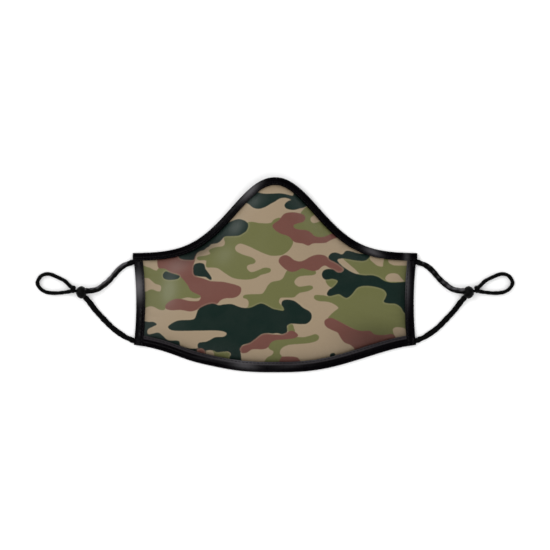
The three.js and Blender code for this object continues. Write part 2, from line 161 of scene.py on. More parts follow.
def set_uv(piece: bpy.types.Object, values: Array) -> None:
    """Give a piece its thread map.

    Args:
        piece: The piece.
        values: One pair of metres for each vertex, along and across the threads.
    """
    layer = piece.data.uv_layers.new(name=THREAD_MAP)
    corners = np.zeros(len(piece.data.loops), dtype=np.int32)
    piece.data.loops.foreach_get("vertex_index", corners)
    layer.data.foreach_set("uv", np.asarray(values, np.float32)[corners].ravel())


def set_values(piece: bpy.types.Object, name: str, values: Array) -> None:
    """Store one number for each vertex under a name that a material can read."""
    attribute = piece.data.attributes.new(name, "FLOAT", "POINT")
    attribute.data.foreach_set("value", np.asarray(values, np.float32).ravel())


def vertex_places(piece: bpy.types.Object) -> Array:
    """Read where a piece's vertices are.

    Args:
        piece: The piece.

    Returns:
        One row of X, Y and Z for each vertex.
    """
    places = np.zeros(len(piece.data.vertices) * 3, np.float32)
    piece.data.vertices.foreach_get("co", places)
    return places.reshape(-1, 3).astype(float)


def smooth_route(points: Array, count: int) -> Array:
    """Run a centripetal Catmull-Rom curve through points.

    Args:
        points: The route's own points.
        count: How many evenly spaced points to give back.

    Returns:
        Points spaced evenly by length along the curve, from the first point to the last.
    """
    p = np.asarray(points, float)
    p = np.vstack([2 * p[0] - p[1], p, 2 * p[-1] - p[-2]])
    fine = []
    for i in range(1, len(p) - 2):
        a, b, c, d = p[i - 1 : i + 3]
        t0 = 0.0
        t1 = t0 + np.linalg.norm(b - a) ** CENTRIPETAL
        t2 = t1 + np.linalg.norm(c - b) ** CENTRIPETAL
        t3 = t2 + np.linalg.norm(d - c) ** CENTRIPETAL
        for t in np.linspace(t1, t2, CURVE_STEPS, endpoint=i == len(p) - 3):
            ab = a + (b - a) * (t - t0) / (t1 - t0)
            bc = b + (c - b) * (t - t1) / (t2 - t1)
            cd = c + (d - c) * (t - t2) / (t3 - t2)
            abc = ab + (bc - ab) * (t - t0) / (t2 - t0)
            bcd = bc + (cd - bc) * (t - t1) / (t3 - t1)
            fine.append(abc + (bcd - abc) * (t - t1) / (t2 - t1))
    return evenly(np.array(fine), count)


def evenly(points: Array, count: int) -> Array:
    """Respace a polyline's points evenly by length.

    Args:
        points: The polyline.
        count: How many points to give back.

    Returns:
        The new points, from the same first to the same last.
    """
    reach = lengths_along(points)
    marks = np.linspace(0, reach[-1], count)
    return np.stack([np.interp(marks, reach, column) for column in points.T], axis=1)


def lengths_along(points: Array) -> Array:
    """Length from a polyline's first point to each of its points."""
    steps = np.linalg.norm(np.diff(points, axis=0), axis=1)
    return np.concatenate([[0], np.cumsum(steps)])


@dataclass
class Tube:
    """A soft cord's skin: rings along a centreline, each with its own width and height."""

    centre: Array
    widths: Array
    heights: Array
    sides: int = 20
    along: Array | None = None

    def rings(self) -> Array:
        """Build the rings' points.

        Returns:
            An array of rings, sides and coordinates.
        """
        along = unit(np.gradient(self.centre, axis=0)) if self.along is None else self.along
        across = unit(np.cross(UP, along))
        above = np.cross(along, across)
        turn = np.arange(self.sides) / self.sides * 2 * math.pi
        flat = np.cos(turn)[None, :, None] * across[:, None, :] * self.widths[:, None, None] / 2
        tall = np.sin(turn)[None, :, None] * above[:, None, :] * self.heights[:, None, None] / 2
        return self.centre[:, None, :] + flat + tall

    def piece(
        self, name: str, first: int = 0, last: int | None = None, swell: Array | None = None
    ) -> bpy.types.Object:
        """Make the tube's mesh, with flat closed ends.

        Args:
            name: The piece's name.
            first: Number of the first ring used.
            last: Number of the last ring used, or None for the final one.
            swell: An extra distance outwards for each ring and side, or None.

        Returns:
            The piece, with its UV map along and round the cord in metres.
        """
        stop = len(self.centre) if last is None else last + 1
        rings = self.rings()[first:stop]
        centre = self.centre[first:stop]
        if swell is not None:
            rings = rings + unit(rings - centre[:, None, :]) * swell[first:stop, :, None]
        count = len(rings)
        points = np.vstack([rings.reshape(-1, 3), centre[:1], centre[-1:]])
        faces = grid_faces(count, self.sides, wrap=True)
        head, foot = count * self.sides, count * self.sides + 1
        for i in range(self.sides):
            faces.append((head, (i + 1) % self.sides, i))
            base = (count - 1) * self.sides
            faces.append((foot, base + i, base + (i + 1) % self.sides))
        piece = new_piece(name, points, faces)
        reach = lengths_along(self.centre)[first:stop]
        girth = math.pi * float(np.mean(self.widths + self.heights)) / 2
        u = np.append(np.repeat(reach, self.sides), [reach[0], reach[-1]])
        v = np.tile(np.arange(self.sides) / self.sides * girth, count)
        folded = np.append(np.minimum(v, girth - v) * 2, [0, 0])
        set_uv(piece, np.stack([u, folded], axis=1))
        return piece


# ---- Shape of the mask ----


@dataclass(frozen=True)
class MaskShape:
    """The mask's outline and the dome of its cloth.

    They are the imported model's, but for a slight sag of the chin edge near both corners and a
    droop of it on the left.
    """

    top_half_width: float = 0.1108
    bottom_half_width: float = 0.11
    side_bow: float = 0.0022
    side_height: float = 0.0713
    nose_peak: float = 0.0589
    nose_spread: float = 0.047
    nose_power: float = 2.1
    chin_drop: float = 0.0236
    chin_spread: float = 0.08
    chin_power: float = 2.8
    sag: float = 0.0004
    sag_place: float = 0.078
    sag_spread: float = 0.02
    droop: float = 0.001
    droop_place: float = -0.065
    droop_spread: float = 0.015
    dome_height: float = 0.029
    dome_side_power: float = 2.3
    dome_rise_power: float = 0.85
    nose_lift: float = 0.008
    nose_lift_spread: float = 0.03
    mid_height: float = 0.0016
    top_tape: float = 0.0061
    bottom_tape: float = 0.0082
    side_tape: float = 0.007
    tape_ease: float = 0.0008
    tape_height: float = 0.0032
    butt_gap: float = 0.00025

    @property
    def chin_depth(self) -> float:
        """How far the chin hangs below the bottom corners."""
        fall = (self.bottom_half_width / self.chin_spread) ** self.chin_power
        return self.chin_drop * (1 - math.exp(-fall))

    @property
    def top_corner(self) -> float:
        """Height of the top corners on the table, along Y."""
        return (self.side_height + self.chin_depth - self.nose_peak) / 2

    @property
    def bottom_corner(self) -> float:
        """Height of the bottom corners on the table, along Y."""
        return self.top_corner - self.side_height

    def top_edge(self, x: Array) -> Array:
        """The nose edge's place at each x."""
        fall = (np.abs(x) / self.nose_spread) ** self.nose_power
        return self.top_corner + self.nose_peak * np.exp(-fall)

    def bottom_edge(self, x: Array) -> Array:
        """The chin edge's place at each x.

        Args:
            x: Places across the mask.

        Returns:
            The edge's place along Y at each.
        """
        rise = 1 - np.exp(-((np.abs(x) / self.chin_spread) ** self.chin_power))
        level = self.bottom_corner - self.chin_depth + self.chin_drop * rise
        both = np.exp(-(((np.abs(x) - self.sag_place) / self.sag_spread) ** 2)) * self.sag
        left = np.exp(-(((x - self.droop_place) / self.droop_spread) ** 2)) * self.droop
        return level - both - left

    def half_width(self, y: Array) -> Array:
        """Half the mask's width at each y.

        Args:
            y: Places between the chin corners and the nose corners.

        Returns:
            The side edge's distance from the middle at each.
        """
        share = np.clip((y - self.bottom_corner) / self.side_height, 0, 1)
        widening = self.top_half_width - self.bottom_half_width
        return self.bottom_half_width + widening * share - self.side_bow * 4 * share * (1 - share)

    def lift(self, x: Array) -> Array:
        """How far the shaped nose edge stands off the table at each x."""
        return self.nose_lift * np.exp(-((np.asarray(x) / self.nose_lift_spread) ** 2))

    def inward(self, edge: Edge, x: Array, inwards: int) -> Array:
        """Unit directions into the mask from an edge.

        Args:
            edge: The edge's place as a function of x.
            x: Places along it.
            inwards: -1 on the nose edge and 1 on the chin edge.

        Returns:
            One flat direction for each x.
        """
        slope = (edge(x + SLOPE_STEP) - edge(x - SLOPE_STEP)) / (2 * SLOPE_STEP)
        return unit(np.stack([-slope * inwards, np.full_like(x, inwards, dtype=float)], axis=-1))

    def inset_edge(self, edge: Edge, inset: float, inwards: int) -> Edge:
        """The edge moved into the mask.

        Args:
            edge: The edge's place as a function of x.
            inset: How far in it moves.
            inwards: -1 on the nose edge and 1 on the chin edge.

        Returns:
            The moved edge, as a function of x.
        """
        reach = self.top_half_width + inset
        x = np.linspace(-reach, reach, EDGE_SAMPLES)
        direction = self.inward(edge, x, inwards)
        moved_x = x + inset * direction[:, 0]
        moved_y = edge(x) + inset * direction[:, 1]
        order = np.argsort(moved_x)
        return lambda at: np.interp(at, moved_x[order], moved_y[order])


SHAPE = MaskShape()


# ---- Shader building ----


class Nodes:
    """A short-hand for adding and joining shader nodes in one tree."""

    def __init__(self, tree: bpy.types.NodeTree) -> None:
        """Work in the given node tree."""
        self.tree = tree

    def add(self, kind: str, **values: object) -> bpy.types.Node:
        """Add a node and set what is named: an input socket by its name, or else a property.

        Args:
            kind: The node's type, without the ShaderNode at its front.
            **values: Sockets or properties, with underscores for a socket's spaces.

        Returns:
            The node.
        """
        node = self.tree.nodes.new("ShaderNode" + kind)
        for key, value in values.items():
            if hasattr(node, key):
                setattr(node, key, value)
        for key, value in values.items():
            if hasattr(node, key):
                continue
            numbered = key[1:].isdigit()
            socket = node.inputs[int(key[1:]) if numbered else key.replace("_", " ")]
            if isinstance(value, bpy.types.NodeSocket):
                self.tree.links.new(value, socket)
            else:
                socket.default_value = value
        return node

    def math(self, operation: str, *values: object) -> bpy.types.NodeSocket:
        """Join values in a Math node and give its output."""
        sockets = {f"s{i}": value for i, value in enumerate(values)}
        return self.add("Math", operation=operation, **sockets).outputs[0]

    def ramp(
        self, value: object, low: float, high: float, start: float = 0.0, end: float = 1.0
    ) -> bpy.types.NodeSocket:
        """Map a value smoothly from one range to another.

        Args:
            value: The socket to map.
            low: The value that gives start.
            high: The value that gives end.
            start: What low gives.
            end: What high gives.

        Returns:
            The mapped value's socket.
        """
        node = self.add("MapRange", interpolation_type="SMOOTHSTEP")
        self.tree.links.new(value, node.inputs[0])
        for socket, number in zip(list(node.inputs)[1:5], (low, high, start, end)):
            socket.default_value = number
        return node.outputs[0]

    def mix(
        self, share: object, first: object, second: object, blend: str = "MIX"
    ) -> bpy.types.NodeSocket:
        """Mix two colours by a share.

        Args:
            share: How much of the second shows, a socket or a number.
            first: The colour under it, a socket or a colour.
            second: The colour over it, a socket or a colour.
            blend: The way they are mixed.

        Returns:
            The mixed colour's socket.
        """
        node = self.add("Mix", data_type="RGBA", blend_type=blend)
        for number, value in ((0, share), (6, first), (7, second)):
            if isinstance(value, bpy.types.NodeSocket):
                self.tree.links.new(value, node.inputs[number])
            else:
                node.inputs[number].default_value = value
        return node.outputs[2]

    def noise(self, scale: float, detail: float, roughness: float = 0.5) -> bpy.types.NodeSocket:
        """A cloud of noise fixed to the piece.

        Args:
            scale: How fine it is.
            detail: How many finer layers it has.
            roughness: How strongly they show.

        Returns:
            The cloud's socket.
        """
        values = {"Scale": scale, "Detail": detail, "Roughness": roughness}
        place = self.add("TexCoord").outputs["Object"]
        return self.add("TexNoise", Vector=place, **values).outputs[0]

    def stored(self, name: str) -> bpy.types.NodeSocket:
        """A number that is stored on the piece's vertices."""
        return self.add("Attribute", attribute_name=name).outputs["Fac"]

    def ribs(self, pitch: float, cross: float, slant: float) -> bpy.types.Node:
        """Lay the woven ribs along the piece's thread map.

        Args:
            pitch: From one rib to the next, in metres.
            cross: From one cross thread to the next, in metres.
            slant: How far the ribs lean.

        Returns:
            The ribs' group node.
        """
        place = self.add("UVMap", uv_map=THREAD_MAP).outputs[0]
        values = {"Place": place, "Pitch": pitch, "Cross": cross, "Slant": slant}
        return self.add("Group", node_tree=ribbed_group(), **values)

    def feed(self, node: bpy.types.Node, **sockets: bpy.types.NodeSocket) -> None:
        """Link sockets into a node's inputs, named with underscores for their spaces."""
        for key, socket in sockets.items():
            self.tree.links.new(socket, node.inputs[key.replace("_", " ")])


def paint(red: int, green: int, blue: int) -> tuple[float, float, float, float]:
    """Turn a colour on screen into the light it gives back, by the sRGB curve.

    Args:
        red: Its red, from 0 to 255.
        green: Its green.
        blue: Its blue.

    Returns:
        The colour's three lights, and 1 for solid.
    """
    shares = (red / 255, green / 255, blue / 255)
    linear = [c / 12.92 if c <= 0.04045 else ((c + 0.055) / 1.055) ** 2.4 for c in shares]
    return (*linear, 1.0)


def ribbed_group() -> bpy.types.NodeTree:
    """Ridges across a narrow fabric, with a twist of finer threads between them.

    Returns:
        A group that gives the height and an unevenness mask from a UV map in metres.
    """
    found = bpy.data.node_groups.get("woven_ribs")
    if found:
        return found
    tree = bpy.data.node_groups.new("woven_ribs", "ShaderNodeTree")
    for name, value in (("Pitch", 0.0008), ("Cross", 0.0009), ("Slant", 0.0)):
        socket = tree.interface.new_socket(name, in_out="INPUT", socket_type="NodeSocketFloat")
        socket.default_value = value
    tree.interface.new_socket("Place", in_out="INPUT", socket_type="NodeSocketVector")
    for name in ("Height", "Uneven"):
        tree.interface.new_socket(name, in_out="OUTPUT", socket_type="NodeSocketFloat")
    nodes = Nodes(tree)
    given = tree.nodes.new("NodeGroupInput").outputs
    split = nodes.add("SeparateXYZ", Vector=given["Place"])
    lean = nodes.math("MULTIPLY", split.outputs[1], given["Slant"])
    slanted = nodes.math("ADD", split.outputs[0], lean)
    waves = []
    for value, pitch, share in ((slanted, "Pitch", 0.7), (split.outputs[1], "Cross", 0.3)):
        turn = nodes.math("MULTIPLY", nodes.math("DIVIDE", value, given[pitch]), 2 * math.pi)
        wave = nodes.math("ADD", nodes.math("MULTIPLY", nodes.math("SINE", turn), 0.5), 0.5)
        waves.append(nodes.math("MULTIPLY", wave, share))
    values = {"Scale": 260.0, "Detail": 3.0, "Roughness": 0.6}
    blotchy = nodes.add("TexNoise", Vector=given["Place"], **values).outputs[0]
    woven = nodes.math("ADD", waves[0], waves[1])
    height = nodes.math("ADD", woven, nodes.math("MULTIPLY", blotchy, 0.25))
    nodes.feed(tree.nodes.new("NodeGroupOutput"), Height=height, Uneven=blotchy)
    return tree


# Each finish's one material, by its name.
MADE: dict[str, bpy.types.Material] = {}
# The band of a noise cloud that shows in a finish's gloss.
PATCHY = (0.3, 0.7)


@dataclass(frozen=True)
class SoftPatch:
    """A long soft patch, in mm, of painted light and shade: paler for a painted highlight where a
    surface turns to the light, darker for painted shade in a fold.
    """

    x: float
    y: float
    length: float
    width: float
    turn: float
    strength: float

    def at(self, x: Array, y: Array) -> Array:
        """How much the patch tells at each place.

        Args:
            x: Places across, in metres.
            y: Places up, in metres.

        Returns:
            The patch's strength there.
        """
        turn = math.radians(self.turn)
        out, up = x / MM - self.x, y / MM - self.y
        along = out * math.cos(turn) + up * math.sin(turn)
        across = up * math.cos(turn) - out * math.sin(turn)
        return self.strength * np.exp(-((along / self.length) ** 2) - (across / self.width) ** 2)


def lay_painted_highlights(piece: bpy.types.Object, painted_highlights: tuple[SoftPatch, ...]) -> None:
    """Store a painted highlight for a piece's colour, patch by patch.

    Args:
        piece: The tape or cloth.
        painted_highlights: Its patches.
    """
    x, y, _ = vertex_places(piece).T
    set_values(piece, "gleam", np.clip(sum(gleam.at(x, y) for gleam in painted_highlights), 0, 1))


def lay_ridge_gleam(piece: bpy.types.Object, towards: Vector, strength: float) -> None:
    """Store a painted highlight along the side of a cord that faces the light.

    Args:
        piece: The cord.
        towards: The direction of the light.
        strength: The painted highlight where the cord faces it squarely.
    """
    light = towards.normalized()
    facing = np.array([vertex.normal.dot(light) for vertex in piece.data.vertices])
    set_values(piece, "gleam", strength * smoothstep(facing, 0.74, 0.98))


# Patches of painted highlight: paler colour on the tapes and on the cloth where their surfaces
# would catch the key light.
TAPE_PAINTED_HIGHLIGHTS = (
    SoftPatch(-107, -9, 10, 5, 90, 1.0),
    SoftPatch(-19, 65, 9, 3.0, 48, 0.75),
    SoftPatch(-24, -70, 9, 2.6, -8, 0.6),
    SoftPatch(-22, -67.5, 24, 1.5, -5, 0.5),
    SoftPatch(40, -64, 26, 1.8, 13, 0.35),
    SoftPatch(102.5, -2, 19, 2.2, 90, 0.6),
    SoftPatch(76, 18, 7, 2.4, -25, 0.6),
)
CLOTH_PAINTED_HIGHLIGHTS = (
    SoftPatch(-76, 7, 9, 6, 20, 0.8),
    SoftPatch(-82, -12, 11, 6, 80, 1.0),
    SoftPatch(-39, 15, 9, 6, 45, 0.5),
    SoftPatch(-30, 37, 7, 5, 50, 0.75),
    SoftPatch(-17, 57, 7, 5, 10, 0.5),
    SoftPatch(-98, -30, 30, 22, 80, 0.35),
)
# Patches of painted shade: darker colour in the cloth's folds.
PAINTED_FOLD_SHADES = (
    SoftPatch(76, -48, 26, 12, 0, 0.34),
    SoftPatch(-57, 19, 17, 4.5, 27, 0.55),
)


@dataclass(frozen=True)
class Finish:
    """What every finish of the mask has: a name, a roughness and a way to make its material."""

    name: str
    roughness: float = 0.8
    sheen: float = 0.0
    specular: float = 0.5
    sheen_roughness: float = 0.45
    uneven: float = 0.08

    def begin(self) -> tuple[bpy.types.Material, Nodes, bpy.types.Node]:
        """Start the material.

        Returns:
            The material, its nodes and its main shader.
        """
        material = bpy.data.materials.new(self.name)
        material.use_nodes = True
        nodes = Nodes(material.node_tree)
        shader = material.node_tree.nodes["Principled BSDF"]
        shader.inputs["Roughness"].default_value = self.roughness
        shader.inputs["Sheen Weight"].default_value = self.sheen
        shader.inputs["Sheen Roughness"].default_value = self.sheen_roughness
        shader.inputs["Specular IOR Level"].default_value = self.specular
        return material, nodes, shader

    def material(self) -> bpy.types.Material:
        """Make the material, or find it if it is made already.

        Returns:
            The finish's one material.
        """
        if self.name not in MADE:
            MADE[self.name] = self.dress()
        return MADE[self.name]

    def gloss(self, nodes: Nodes, cloud: bpy.types.NodeSocket) -> bpy.types.NodeSocket:
        """Roughness that varies a little with a cloud of noise."""
        low, high = self.roughness - self.uneven, self.roughness + self.uneven
        return nodes.ramp(cloud, *PATCHY, low, high)

    def dress(self) -> bpy.types.Material:
        """Build the material's nodes."""
        raise NotImplementedError


@dataclass(frozen=True)
class RibbedFabric(Finish):
    """Narrow woven or knitted goods: tapes, elastic and thread."""

    color: tuple = (0.01, 0.01, 0.01, 1.0)
    light: tuple = (0.02, 0.02, 0.02, 1.0)
    pitch: float = 0.0008
    cross: float = 0.0009
    slant: float = 0.0
    depth: float = 0.00012
    strength: float = 0.5
    accent: str = ""
    # The painted highlight colour of the lip.
    lip_highlight_color: tuple = (0.04, 0.04, 0.04, 1.0)
    # The colour of the painted highlight.
    gleam: tuple = paint(86, 84, 87)

    def dress(self) -> bpy.types.Material:
        """Build a ribbed fabric with uneven tone and ridges in the bump, and paint its highlights
        into its colour.

        Returns:
            The material.
        """
        material, nodes, shader = self.begin()
        ribs = nodes.ribs(self.pitch, self.cross, self.slant)
        height = ribs.outputs["Height"]
        crest = nodes.ramp(height, 0.35, 1.0)
        color = nodes.mix(crest, self.color, self.light)
        # Painted highlight on the lip: its raised ribs are painted paler, where the lip tilts
        # towards the light.
        if self.accent:
            raised = nodes.ramp(height, 0.1, 0.8, 0.55, 1.0)
            lip = nodes.math("MULTIPLY", nodes.stored(self.accent), raised)
            color = nodes.mix(lip, color, self.lip_highlight_color)
        # Painted highlight: the colour turns pale grey where the stored highlight mask is high,
        # most on the rib crests.
        lit = nodes.math("MULTIPLY", nodes.stored("gleam"), nodes.ramp(crest, 0.0, 1.0, 0.85, 1.0))
        bump = nodes.add("Bump", Strength=self.strength, Distance=self.depth, Height=height)
        nodes.feed(
            shader,
            Base_Color=nodes.mix(lit, color, self.gleam),
            Roughness=self.gloss(nodes, ribs.outputs["Uneven"]),
            Normal=bump.outputs[0],
        )
        return material


@dataclass(frozen=True)
class WovenCloth(Finish):
    """A plain cloth in one colour with a fine knit, for the lining and the middle ply."""

    color: tuple = (0.02, 0.02, 0.02, 1.0)
    light: tuple = (0.03, 0.03, 0.03, 1.0)
    thread: float = 0.0006
    weft_share: float = 1.15
    slant: float = 0.35
    depth: float = 0.0001
    uneven: float = 0.05

    def ground(self, nodes: Nodes) -> tuple[bpy.types.NodeSocket, bpy.types.NodeSocket]:
        """The cloth's own colour before its weave shows.

        Args:
            nodes: The material's nodes.

        Returns:
            The colour and a mask of how uneven it is.
        """
        cloudy = nodes.noise(90.0, 5.0, 0.65)
        return nodes.mix(nodes.ramp(cloudy, 0.35, 0.65), self.color, self.light), cloudy

    def dress(self) -> bpy.types.Material:
        """Build the cloth: its ground, its weave and its fluff.

        Returns:
            The material.
        """
        material, nodes, shader = self.begin()
        color, cloudy = self.ground(nodes)
        weave = nodes.ribs(self.thread, self.thread * self.weft_share, self.slant)
        fluff = nodes.math("MULTIPLY", nodes.noise(1900.0, 2.0), 0.5)
        height = nodes.math("ADD", weave.outputs["Height"], fluff)
        shade = nodes.ramp(height, 0.2, 1.25, 0.93, 1.05)
        bump = nodes.add("Bump", Strength=0.35, Distance=self.depth, Height=height)
        nodes.feed(
            shader,
            Base_Color=nodes.mix(1.0, color, shade, "MULTIPLY"),
            Roughness=self.gloss(nodes, cloudy),
            Normal=bump.outputs[0],
        )
        return material


@dataclass(frozen=True)
class PrintedCloth(WovenCloth):
    """Smooth cloth printed with blotches of three inks on a tan ground."""

    tan: tuple = paint(145, 128, 105)
    olive: tuple = paint(97, 98, 59)
    brown: tuple = paint(104, 66, 58)
    dark: tuple = paint(17, 36, 31)
    pale: tuple = paint(164, 154, 129)
    faded: tuple = paint(170, 160, 140)
    # The colour that the painted highlights mix towards.
    gleam: tuple = paint(225, 228, 222)
    blur: float = 0.45
    spread: float = 0.7
    rim: float = 0.14
    fading: float = 0.008
    painted_highlight_share: float = 0.07
    wobble: float = 0.3

    def ground(self, nodes: Nodes) -> tuple[bpy.types.NodeSocket, bpy.types.NodeSocket]:
        """The print, from how far each place is inside each ink, with random fading, painted
        highlights, and painted shade by the seams and in folds.

        Args:
            nodes: The material's nodes.

        Returns:
            The colour and a mask of how uneven it is.
        """
        cloudy = nodes.noise(60.0, 6.0, 0.6)
        wobble = nodes.math("SUBTRACT", nodes.noise(700.0, 2.0), 0.5)
        shift = nodes.math("MULTIPLY", wobble, self.wobble)
        inks = {
            ink: nodes.math("ADD", nodes.stored("ink_" + ink), shift)
            for ink in ("olive", "brown", "dark")
        }
        # A pale rim, from 1.5 mm outside the dark ink to its edge.
        near_dark = nodes.ramp(inks["dark"], -1.5, -0.5)
        clear_of_dark = nodes.ramp(inks["dark"], -0.4, 0.1, 1.0, 0.0)
        rim = nodes.math("MULTIPLY", near_dark, clear_of_dark)
        color = self.tan
        for ink in ("olive", "brown"):
            share = nodes.ramp(inks[ink], -self.spread, self.blur / 3)
            color = nodes.mix(share, color, getattr(self, ink))
        color = nodes.mix(nodes.math("MULTIPLY", rim, self.rim), color, self.pale)
        color = nodes.mix(nodes.ramp(inks["dark"], -self.blur, self.blur), color, self.dark)
        wear_and_painted_light = nodes.mix(nodes.ramp(cloudy, 0.35, 0.7, 0.0, self.fading), color, self.faded)
        # Painted highlight, then painted shade where the cloth turns down into the tapes and in its
        # folds.
        lit = nodes.math("MULTIPLY", nodes.stored("gleam"), self.painted_highlight_share)
        wear_and_painted_light = nodes.mix(lit, wear_and_painted_light, self.gleam)
        # The painted shade darkens the colour by its stored share.
        unshaded = nodes.math("SUBTRACT", 1.0, nodes.stored("painted_seam_shade"))
        return nodes.mix(1.0, wear_and_painted_light, unshaded, "MULTIPLY"), cloudy


@dataclass(frozen=True)
class SoftRubber(Finish):
    """Matte silicone with a faint moulded grain and dust in it."""

    color: tuple = paint(6, 6, 6)
    dusty: tuple = paint(15, 15, 16)

    def dress(self) -> bpy.types.Material:
        """Build the rubber: two close shades, uneven gloss and a fine grain.

        Returns:
            The material.
        """
        material, nodes, shader = self.begin()
        dust = nodes.noise(420.0, 5.0, 0.7)
        low, high = self.roughness - 0.07, self.roughness + 0.1
        bump = nodes.add("Bump", Strength=0.25, Distance=0.00006, Height=nodes.noise(3200.0, 2.0))
        nodes.feed(
            shader,
            Base_Color=nodes.mix(nodes.ramp(dust, 0.4, 0.75), self.color, self.dusty),
            Roughness=nodes.ramp(dust, *PATCHY, low, high),
            Normal=bump.outputs[0],
        )
        return material


@dataclass(frozen=True)
class CoatedWire(Finish):
    """The nose wire's white plastic skin, scuffed where it was drawn through the fold."""

    white: tuple = (0.6, 0.6, 0.58, 1)
    scuffed: tuple = (0.35, 0.35, 0.34, 1)
    uneven: float = 0.1

    def dress(self) -> bpy.types.Material:
        """Build the skin with its scuffs.

        Returns:
            The material.
        """
        material, nodes, shader = self.begin()
        scuff = nodes.noise(600.0, 4.0)
        color = nodes.mix(nodes.ramp(scuff, 0.45, 0.7), self.white, self.scuffed)
        nodes.feed(shader, Base_Color=color, Roughness=self.gloss(nodes, scuff))
        return material


PRINT = PrintedCloth("printed_cloth", roughness=0.46, specular=0.12, thread=0.0005)
LINING = WovenCloth("lining_jersey", roughness=0.92, sheen=0.25, specular=0.2)
FELT = WovenCloth(
    "felt_ply",
    roughness=0.95,
    color=(0.75, 0.74, 0.7, 1),
    light=(0.82, 0.81, 0.78, 1),
    thread=0.0011,
)
TAPE = RibbedFabric(
    "satin_bias_tape",
    roughness=0.3,
    specular=0.07,
    color=paint(2, 1, 3),
    light=paint(7, 5, 8),
    strength=0.15,
    pitch=0.00085,
    cross=0.0022,
    accent="lip",
    lip_highlight_color=paint(46, 43, 46),
)
ELASTIC = RibbedFabric(
    "elastic_knit",
    roughness=0.42,
    specular=0.05,
    color=paint(4, 4, 4),
    light=paint(10, 10, 11),
    pitch=0.0009,
    cross=0.00075,
    slant=0.6,
    depth=0.00018,
    strength=0.7,
)
THREAD = RibbedFabric(
    "twisted_thread",
    roughness=0.45,
    specular=0.15,
    color=paint(8, 7, 9),
    light=paint(30, 28, 31),
    pitch=0.0003,
    cross=0.0006,
    slant=0.8,
    depth=0.00005,
)
RUBBER = SoftRubber("soft_stopper_rubber", roughness=0.5, specular=0.12)
WIRE = CoatedWire("nose_wire_skin", roughness=0.45)


# ---- The studio ----


@dataclass(frozen=True)
class SunLamp:
    """One far soft lamp: where it hangs, how wide it looks and how strong it is."""

    name: str
    towards: tuple
    spread: float
    power: float

    def hang(self) -> None:
        """Add the lamp, aimed at the mask."""
        data = bpy.data.lights.new(self.name, "SUN")
        data.angle = math.radians(self.spread)
        data.energy = self.power
        lamp = bpy.data.objects.new(self.name, data)
        bpy.context.scene.collection.objects.link(lamp)
        lamp.location = self.towards
        lamp.rotation_euler = (-Vector(self.towards)).to_track_quat("-Z", "Y").to_euler()


@dataclass
class Studio:
    """A plain pale table under soft light, seen from straight above through a long lens."""

    view_width: float = 0.429
    lens: float = 135.0
    sensor: float = 36.0
    clip: tuple = (0.05, 30.0)
    table: float = 6.0
    table_drop: float = 0.00005
    table_tone: float = 0.99
    table_roughness: float = 0.9
    sky: float = 0.985
    suns: tuple = (
        SunLamp("key_light", (-0.80, 0.42, 0.86), 22.0, 0.58),
        SunLamp("fill_light", (0.75, -0.30, 0.80), 50.0, 0.32),
    )
    strip_size: tuple = (0.07, 0.16)
    strip_power: float = 0.6
    strip_place: tuple = (-0.20, -0.012, 1.0)

    def place_camera(self) -> None:
        """Hang the camera over the mask's middle."""
        data = bpy.data.cameras.new("camera")
        data.lens = self.lens
        data.sensor_width = self.sensor
        camera = bpy.data.objects.new("camera", data)
        bpy.context.scene.collection.objects.link(camera)
        camera.location = (0.0, 0.0, self.view_width * self.lens / self.sensor)
        data.clip_start, data.clip_end = self.clip
        bpy.context.scene.camera = camera

    def lay_table(self) -> None:
        """Lay the pale table top under the mask."""
        reach, level = self.table / 2, -self.table_drop
        turns = ((-1, -1), (1, -1), (1, 1), (-1, 1))
        corners = [(x * reach, y * reach, level) for x, y in turns]
        top = new_piece("table_top", corners, [(0, 1, 2, 3)], smooth=False)
        material = bpy.data.materials.new("table_white")
        material.use_nodes = True
        shader = material.node_tree.nodes["Principled BSDF"]
        shader.inputs["Base Color"].default_value = (self.table_tone,) * 3 + (1.0,)
        shader.inputs["Roughness"].default_value = self.table_roughness
        shader.inputs["Specular IOR Level"].default_value = 0.0
        top.data.materials.append(material)

    def light(self) -> None:
        """Hang a soft key light up to the left, a weaker fill to the right, and a pale sky."""
        for sun in self.suns:
            sun.hang()
        strip = bpy.data.lights.new("strip_light", "AREA")
        strip.shape = "RECTANGLE"
        strip.size, strip.size_y = self.strip_size
        strip.energy = self.strip_power
        lamp = bpy.data.objects.new("strip_light", strip)
        bpy.context.scene.collection.objects.link(lamp)
        lamp.location = self.strip_place
        world = bpy.data.worlds.new("studio_sky")
        world.use_nodes = True
        background = world.node_tree.nodes["Background"].inputs
        background["Color"].default_value = (1.0, 1.0, 1.0, 1.0)
        background["Strength"].default_value = self.sky
        world.cycles_visibility.glossy = False
        bpy.context.scene.world = world
        bpy.context.scene.view_settings.view_transform = "Standard"


# ---- Ear loops ----


